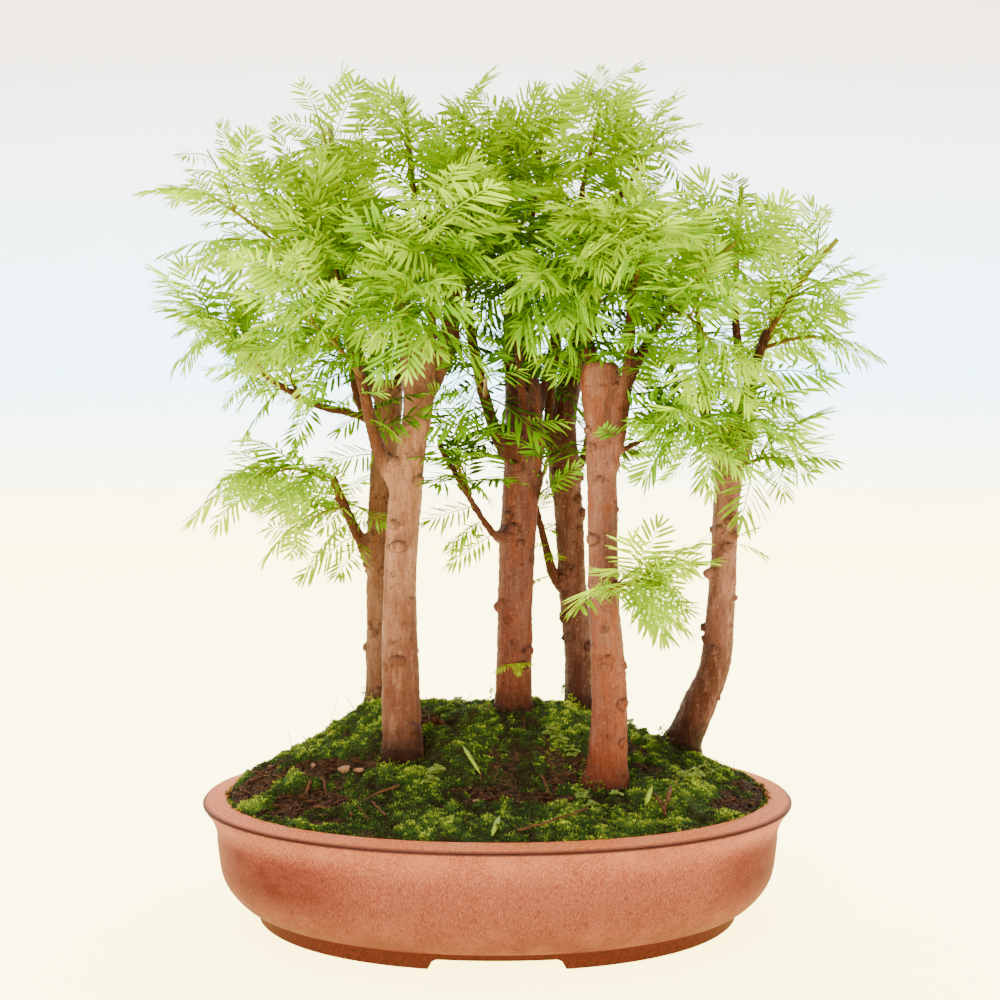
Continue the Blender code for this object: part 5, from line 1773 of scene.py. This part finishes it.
@dataclass
class LeafyCanopy:
    """All the leafy shoots, their side shoots, and the twigs inside the crown."""

    workshop: Workshop
    leaf: Material
    stem: Material
    pair_gap: float = 10.5
    side_gap: float = 8.2
    inner_gap: float = 3.8
    setback: float = 10.0
    bow: float = 0.06
    middle: Point = (8.0, 10.0, 270.0)
    reach: Point = (165.0, 105.0, 115.0)
    low_corner: Point = (-160.0, -113.0, 60.0)
    high_corner: Point = (188.0, 132.0, 388.0)
    # Top outline of the crown as x and z.
    outline: tuple[Pair, ...] = (
        (-200, 290), (-160, 330), (-122, 356), (-83, 383), (-66, 392), (50, 392), (72, 382), (90, 366),
        (98, 346), (160, 334), (190, 302),
    )
    # Painted light and shade of the leaves: weight and power of the distance outward, weight of the
    # height, of the painted shade in the crown's heart, and what is taken off.
    outer_weight: float = 0.85
    outer_power: float = 1.9
    high_weight: float = 0.14
    heart_shade_weight: float = 0.22
    shade_offset: float = 0.31
    # Share of missing twigs in the lower middle, at the sides and elsewhere.
    open_middle: float = 0.42
    open_sides: float = 0.18
    open_rest: float = 0.04
    twig_reach: float = 36.0
    twig_middle: float = 15.0
    shrink: float = 0.66
    open_trees: tuple[TreeName, ...] = (TreeName.RIGHT, TreeName.CENTRE, TreeName.BACK_RIGHT)
    twigs: list[Stencil] = field(default_factory=list)
    slim_twigs: list[Stencil] = field(default_factory=list)

    def make_twigs(self) -> None:
        """The few different twigs that every shoot repeats."""
        kinds = (
            (10, 29.0, 14.5, 0.12), (11, 33.0, 15.0, 0.24), (9, 25.0, 13.5, 0.05), (12, 36.0, 15.0, 0.34),
            (8, 21.0, 13.0, 0.14), (11, 31.0, 16.0, 0.30), (7, 17.0, 12.0, 0.10), (10, 28.0, 13.0, 0.42),
        )
        for seed, (pairs, length, needle, droop) in enumerate(kinds, 1):
            self.twigs.append(NeedleTwig(pairs - 1, length, 1.2 * needle, droop, seed).build())
            slim = NeedleTwig(pairs - 1, length, 1.15 * needle, droop, seed + 20, True)
            self.slim_twigs.append(slim.build())

    def crown_light(self, spot: Vector) -> float:
        """Painted light and shade of the leaves: darker inside the crown and in its heart, lighter at its
        outside and top.
        """
        off = spot - Vector(self.middle)
        outer = math.sqrt(sum((off[axis] / self.reach[axis]) ** 2 for axis in range(3)))
        high = clamp(off.z / self.reach[2], -0.7)
        heart_shade = math.exp(-((spot.x - 20.0) / 75.0) ** 2 - ((spot.z - 250.0) / 48.0) ** 2)
        outward = self.outer_weight * min(1.1, outer) ** self.outer_power
        return outward + self.high_weight * high - self.heart_shade_weight * heart_shade - self.shade_offset

    def openness(self, spot: Vector) -> float:
        """Share of the twigs that are missing, most in the lower middle of the crown."""
        if abs(spot.x - 10.0) < 48.0 and 190.0 < spot.z < 262.0:
            return self.open_middle
        return self.open_sides if spot.x < -55.0 or spot.x > 85.0 else self.open_rest

    def fits(self, tip: Vector) -> bool:
        """Whether a twig's tip stays in the plant's box and under the crown's outline."""
        if any(not low < part < high for low, part, high in zip(self.low_corner, tip, self.high_corner)):
            return False
        for (left, low), (right, high) in zip(self.outline, self.outline[1:]):
            if left <= tip.x <= right:
                return tip.z <= low + (high - low) * (tip.x - left) / (right - left)
        return True

    def add_twig(
        self, growth: Growth, spot: Vector, ahead: Vector, size: float, shade: float = 0.0,
        slim: bool = True,
    ) -> None:
        """Set one feathery twig, unless it would leave the plant's box.

        Args:
            growth: the piece that it belongs to.
            spot: where the twig leaves the wood.
            ahead: its direction.
            size: its scale.
            shade: added to its tones; below zero it is painted shade, above zero painted light.
            slim: true for needles with fewer faces.
        """
        draw = growth.draw
        if shade <= 0.0 and draw.random() < self.openness(spot):
            return
        ahead = ahead.normalized()
        if not self.fits(spot + ahead * self.twig_reach * size):
            size *= self.shrink
            if not self.fits(spot + ahead * self.twig_reach * size):
                return
        up = Z_AXIS if abs(ahead.z) < 0.88 else Vector((0.3, -1.0, 0.2)).normalized()
        up = Matrix.Rotation(draw.gauss(0.0, 0.55), 3, ahead) @ up
        side = ahead.cross(up).normalized()
        up = side.cross(ahead).normalized()
        matrix = Matrix((side, ahead, up)).transposed().to_4x4()
        matrix = Matrix.Translation(spot) @ matrix @ Matrix.Scale(size, 4)
        # The crown's painted light and shade, a random spread and the twig's added shade.
        lift = self.crown_light(spot + ahead * self.twig_middle) + draw.uniform(-0.12, 0.12) + shade
        kind = draw.choice(self.slim_twigs if slim else self.twigs)
        kind.stamp(growth.bm, growth.layer, matrix, lift)

    def curve(self, start: Vector, end: Vector, bow: float) -> list[Vector]:
        """Smooth bowed line between two places."""
        middle = (start + end) / 2.0 + Z_AXIS * bow * (end - start).length
        return smooth_path([start, middle, end], 5)

    def at(self, line: Line, share: float) -> tuple[Vector, Vector]:
        """Place and direction at a share of a line."""
        place = min(share, 0.999) * (len(line) - 1)
        index = int(place)
        step = line[index + 1] - line[index]
        return line[index] + step * (place - index), step.normalized()

    def across(self, ahead: Vector, roll: float) -> Vector:
        """Direction square to another, turned round it."""
        level = ahead.cross(Z_AXIS)
        level = level.normalized() if level.length > 0.25 else ahead.orthogonal().normalized()
        return Matrix.Rotation(roll, 3, ahead) @ level

    def dress(
        self, growth: Growth, line: Line, gap: float, size: float, slim: bool
    ) -> None:
        """Pairs of twigs along a line, shorter and more forward toward its tip."""
        draw = growth.draw
        length = path_length(line)
        pairs = max(2, int(length / gap))
        turn = draw.uniform(-0.6, 0.6)
        for pair in range(pairs):
            share = (pair + 0.7) / (pairs + 0.2)
            spot, ahead = self.at(line, share)
            side = self.across(ahead, turn + draw.uniform(-0.6, 0.6) + 1.2 * (pair % 2))
            for hand in (-1.0, 1.0):
                if draw.random() < 0.05:
                    continue
                spread = math.radians(draw.uniform(42.0, 70.0) - 22.0 * share)
                way = ahead * math.cos(spread) + side * hand * math.sin(spread)
                way.z += draw.uniform(-0.28, 0.16)
                swell = 0.6 + 0.5 * math.sin(math.pi * min(0.92, share + 0.12))
                scale = size * swell * draw.uniform(0.8, 1.1)
                self.add_twig(growth, spot, way, scale, slim=slim)

    def add_stem(
        self, growth: Growth, line: Line, foot: float, tip: float, low_tone: float,
        high_tone: float,
    ) -> None:
        """Round stem along a line, in the second finish."""
        count = len(line) - 1
        radii = [foot + (tip - foot) * index / count for index in range(count + 1)]
        verts = add_tube(growth.bm, line, radii, 7)
        for index, vert in enumerate(verts):
            vert[growth.layer] = low_tone + (high_tone - low_tone) * index / len(verts)
            for face in vert.link_faces:
                face.material_index = 1
                face.smooth = True

    def build_shoot(self, tree: TreeName, number: int, start: Point, end: Point) -> None:
        """One shoot with its side shoots as a finished piece."""
        name = f"{tree.value}_{number}"
        growth = Growth.start(name)
        draw = growth.draw
        foot, tip = Vector(start), Vector(end)
        blunt = (tree, number) in BLUNT_SHOOTS
        goal = tip if blunt else tip - (tip - foot).normalized() * self.setback
        line = self.curve(foot, goal, self.bow)
        length = (goal - foot).length
        self.dress(growth, line[:-2] if blunt else line, self.pair_gap, 1.02, False)
        count = (5 if length > 55.0 else 4) - (2 if tree in self.open_trees and end[2] < 300.0 else 0)
        for index in range(count):
            spot, ahead = self.at(line, 0.08 + 0.85 * index / count + draw.uniform(-0.05, 0.05))
            side = self.across(ahead, draw.uniform(0.0, math.tau))
            way = (ahead * 0.75 + side * draw.uniform(0.5, 0.8) + Z_AXIS * 0.15).normalized()
            reach = max(14.0, length * draw.uniform(0.3, 0.42))
            branch = self.curve(spot, spot + way * reach, 0.08)
            if not self.fits(branch[-1] + way * 9.0):
                continue
            self.add_stem(growth, branch, 0.6, 0.35, 0.6, 1.0)
            self.dress(growth, branch, self.side_gap, 0.98, index % 2 == 0)
            way += Vector((draw.uniform(-0.6, 0.6), draw.uniform(-0.6, 0.3), -0.2))
            self.add_twig(growth, branch[-1] - way * 2.0, way, 0.8, slim=False)
        if blunt:
            self.add_stem(growth, line, 1.5, 1.25, 0.3, 0.85)
        else:
            self.add_stem(growth, line, 1.15, 0.55, 0.25, 1.0)
            for hand in (-1.0, 1.0):
                way = (line[-1] - line[-2]).normalized() - Z_AXIS * 0.15
                way += Vector((hand * draw.uniform(0.25, 0.8), draw.uniform(-0.6, 0.4), 0.0))
                self.add_twig(growth, line[-1] - ahead * 2.0, way, 0.72, slim=False)
        self.workshop.make(
            f"leaves_{name}", growth.bm, (self.leaf, self.stem), "leaf_green", (f"shoot_{name}",))

    def build_inner(self, tree: TreeName) -> None:
        """Twigs straight on one tree's branches, and its single sprays."""
        growth = Growth.start(f"inner_{tree.value}")
        draw = growth.draw
        for points, _, radius in TREES[tree].branches:
            line = smooth_path(points, 5)
            length = path_length(line)
            count = int(length * 0.7 / (self.inner_gap * (1.7 if tree is TreeName.RIGHT else 1.0)))
            for index in range(count):
                share = 0.3 + 0.7 * (index + draw.random()) / count
                spot, ahead = self.at(line, share)
                if spot.z < 245.0 and index % 3:
                    continue
                side = self.across(ahead, draw.uniform(0.0, math.tau))
                way = ahead * 0.35 + side - Z_AXIS * draw.uniform(0.0, 0.4)
                # Twigs on the branches get a little painted shade.
                self.add_twig(growth, spot + side * radius, way, draw.uniform(0.6, 1.05), -0.1)
        # Single sprays get painted light.
        for spot, ahead, size in SPRAYS[tree]:
            self.add_twig(growth, Vector(spot), Vector(ahead), size, 0.3, False)
        self.workshop.make(f"inner_leaves_{tree.value}", growth.bm, (self.leaf,), "leaf_green")

    def build(self) -> None:
        """All shoots of all trees."""
        self.make_twigs()
        for tree, shoots in SHOOTS.items():
            for number, (start, end) in enumerate(shoots, 1):
                self.build_shoot(tree, number, start, end)
            self.build_inner(tree)


@dataclass
class PhotoStage:
    """Pale floor that sweeps up behind, soft lights and the camera."""

    workshop: Workshop
    floor_front: float = 2600.0
    floor_half_width: float = 3200.0
    sweep_from: float = 900.0
    sweep_radius: float = 700.0
    sweep_steps: int = 12
    wall_top: float = 3600.0
    aim_height: float = 180.0
    camera_x: float = 1.2
    camera_distance: float = 584.0
    camera_height: float = 189.2
    lens: float = 45.0

    def spot(self, x: float, y: float, z: float) -> Vector:
        """A place of the tray's frame in metres."""
        return self.workshop.place.matrix @ Vector((x, y, z))

    def build_floor(self, finish: Material) -> None:
        """One curved sheet: floor in front and wall behind."""
        bm = bmesh.new()
        profile = [(-self.floor_front, 0.0), (self.sweep_from, 0.0)]
        for step in range(1, self.sweep_steps + 1):
            angle = step * math.pi / (2.0 * self.sweep_steps)
            y = self.sweep_from + self.sweep_radius * math.sin(angle)
            profile.append((y, self.sweep_radius * (1.0 - math.cos(angle))))
        profile.append((self.sweep_from + self.sweep_radius, self.wall_top))
        edge = [bm.verts.new((-self.floor_half_width, y, z)) for y, z in profile]
        line = [bm.edges.new(pair) for pair in zip(edge, edge[1:])]
        moved = bmesh.ops.extrude_edge_only(bm, edges=line)["geom"]
        for vert in moved_verts(moved):
            vert.co.x = self.floor_half_width
        face_outward(bm)
        floor = self.workshop.link("floor", bm, (finish,))
        floor.data.shade_smooth()
        floor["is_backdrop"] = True

    def add_light(self, name: str, at: Point, size: float, power: float, colour: Colour) -> None:
        """Square soft light aimed at the crown."""
        lamp = bpy.data.lights.new(name, "AREA")
        lamp.shape = "SQUARE"
        lamp.size = size
        lamp.energy = power
        lamp.color = colour
        light = bpy.data.objects.new(name, lamp)
        light.location = self.spot(*at)
        aim = self.spot(0.0, 0.0, self.aim_height) - light.location
        light.rotation_euler = aim.to_track_quat("-Z", "Y").to_euler()
        bpy.context.scene.collection.objects.link(light)

    def build(self, finish: Material) -> None:
        """Floor, lights, surrounding light and camera."""
        self.build_floor(finish)
        self.add_light("key", (-600.0, -1100.0, 1300.0), 0.9, 22.0, (1.0, 0.98, 0.95))
        self.add_light("fill", (1100.0, -900.0, 700.0), 1.3, 5.0, (0.97, 0.98, 1.0))
        self.add_light("top", (0.0, 200.0, 1500.0), 1.0, 26.0, (1.0, 1.0, 1.0))
        world = bpy.data.worlds.new("soft_sky")
        world.use_nodes = True
        sky = world.node_tree.nodes["Background"]
        sky.inputs["Color"].default_value = (0.93, 0.96, 1.0, 1.0)
        sky.inputs["Strength"].default_value = 0.3
        bpy.context.scene.world = world
        data = bpy.data.cameras.new("camera")
        data.lens = self.lens
        data.clip_start = 0.01
        camera = bpy.data.objects.new("camera", data)
        camera.location = self.spot(self.camera_x, -self.camera_distance, self.camera_height)
        camera.rotation_euler = (math.radians(90.0), 0.0, 0.0)
        bpy.context.scene.collection.objects.link(camera)
        bpy.context.scene.camera = camera


# Tan, warm and dark colour of each bark, where the warm part ends, where the dark one starts and is
# full (the dark partly painted shade under the crown), and how strong the painted shade at the foot is.
BARKS: dict[TreeName, tuple[Colour, Colour, Colour, float, float, float, float]] = {
    TreeName.FRONT_LEFT: (
        (0.225, 0.100, 0.080), (0.112, 0.037, 0.026), (0.0378, 0.0175, 0.0153), 138, 222, 262, 0.9),
    TreeName.BACK_LEFT: (
        (0.1092, 0.0442, 0.0304), (0.1092, 0.036, 0.0208), (0.042, 0.0192, 0.016), 90, 250, 300, 0.9),
    TreeName.CENTRE: (
        (0.090, 0.030, 0.033), (0.1485, 0.0388, 0.024), (0.0275, 0.0114, 0.0132), 125, 205, 240, 0.9),
    TreeName.BACK_RIGHT: (
        (0.058, 0.0135, 0.0115), (0.050, 0.012, 0.010), (0.0225, 0.0078, 0.0073), 90, 225, 265, 0.9),
    TreeName.FRONT_RIGHT: (
        (0.138, 0.050, 0.046), (0.20, 0.046, 0.023), (0.065, 0.0275, 0.024), 105, 245, 300, 0.4),
    TreeName.RIGHT: (
        (0.1664, 0.0667, 0.066), (0.064, 0.019, 0.014), (0.0312, 0.0139, 0.0168), 122, 215, 250, 0.9),
}


def main() -> None:
    """Build every piece in order and report it."""
    logging.basicConfig(level=logging.INFO, format="%(name)s: %(message)s")
    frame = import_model()
    cad_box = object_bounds()
    LOG.info("%d solids loaded", len(frame["nodes"]))
    workshop = Workshop(TrayPlace.from_frame())
    PhotoStage(workshop).build(BackdropFinish().build())
    GlazedTray(workshop).build(GlazeFinish().build())
    screen = PlainGrainFinish("screen_plastic", (0.05, 0.05, 0.05), (0.03, 0.03, 0.03), 0.9, 0.55)
    screen_material = screen.build()
    for side in ("left", "right"):
        node = bpy.data.objects[f"drain_screen_{side}"]
        node.data.materials.clear()
        node.data.materials.append(screen_material)
    mound = PlantedMound(workshop)
    earth = EarthFinish().build()
    mound.build_soil(earth)
    # The skin is a darker copy of the sprigs' moss: painted shade between the sprigs.
    mound.build_moss(MossFinish("moss_skin", 1.1).build())
    mound.build_sprigs(MossFinish("moss_sprig", 1.9).build())
    mound.build_grains(earth)
    FallenLitter(workshop, mound).build()
    for name in TreeName:
        BonsaiTree(workshop, name).build()
    LeafyCanopy(workshop, LeafFinish().build(), StemFinish().build()).build()
    boxes = {"cad": cad_box, "visual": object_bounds()}
    plain = {key: [list(corner) for corner in box] for key, box in boxes.items()}


if __name__ == "__main__":
    main()
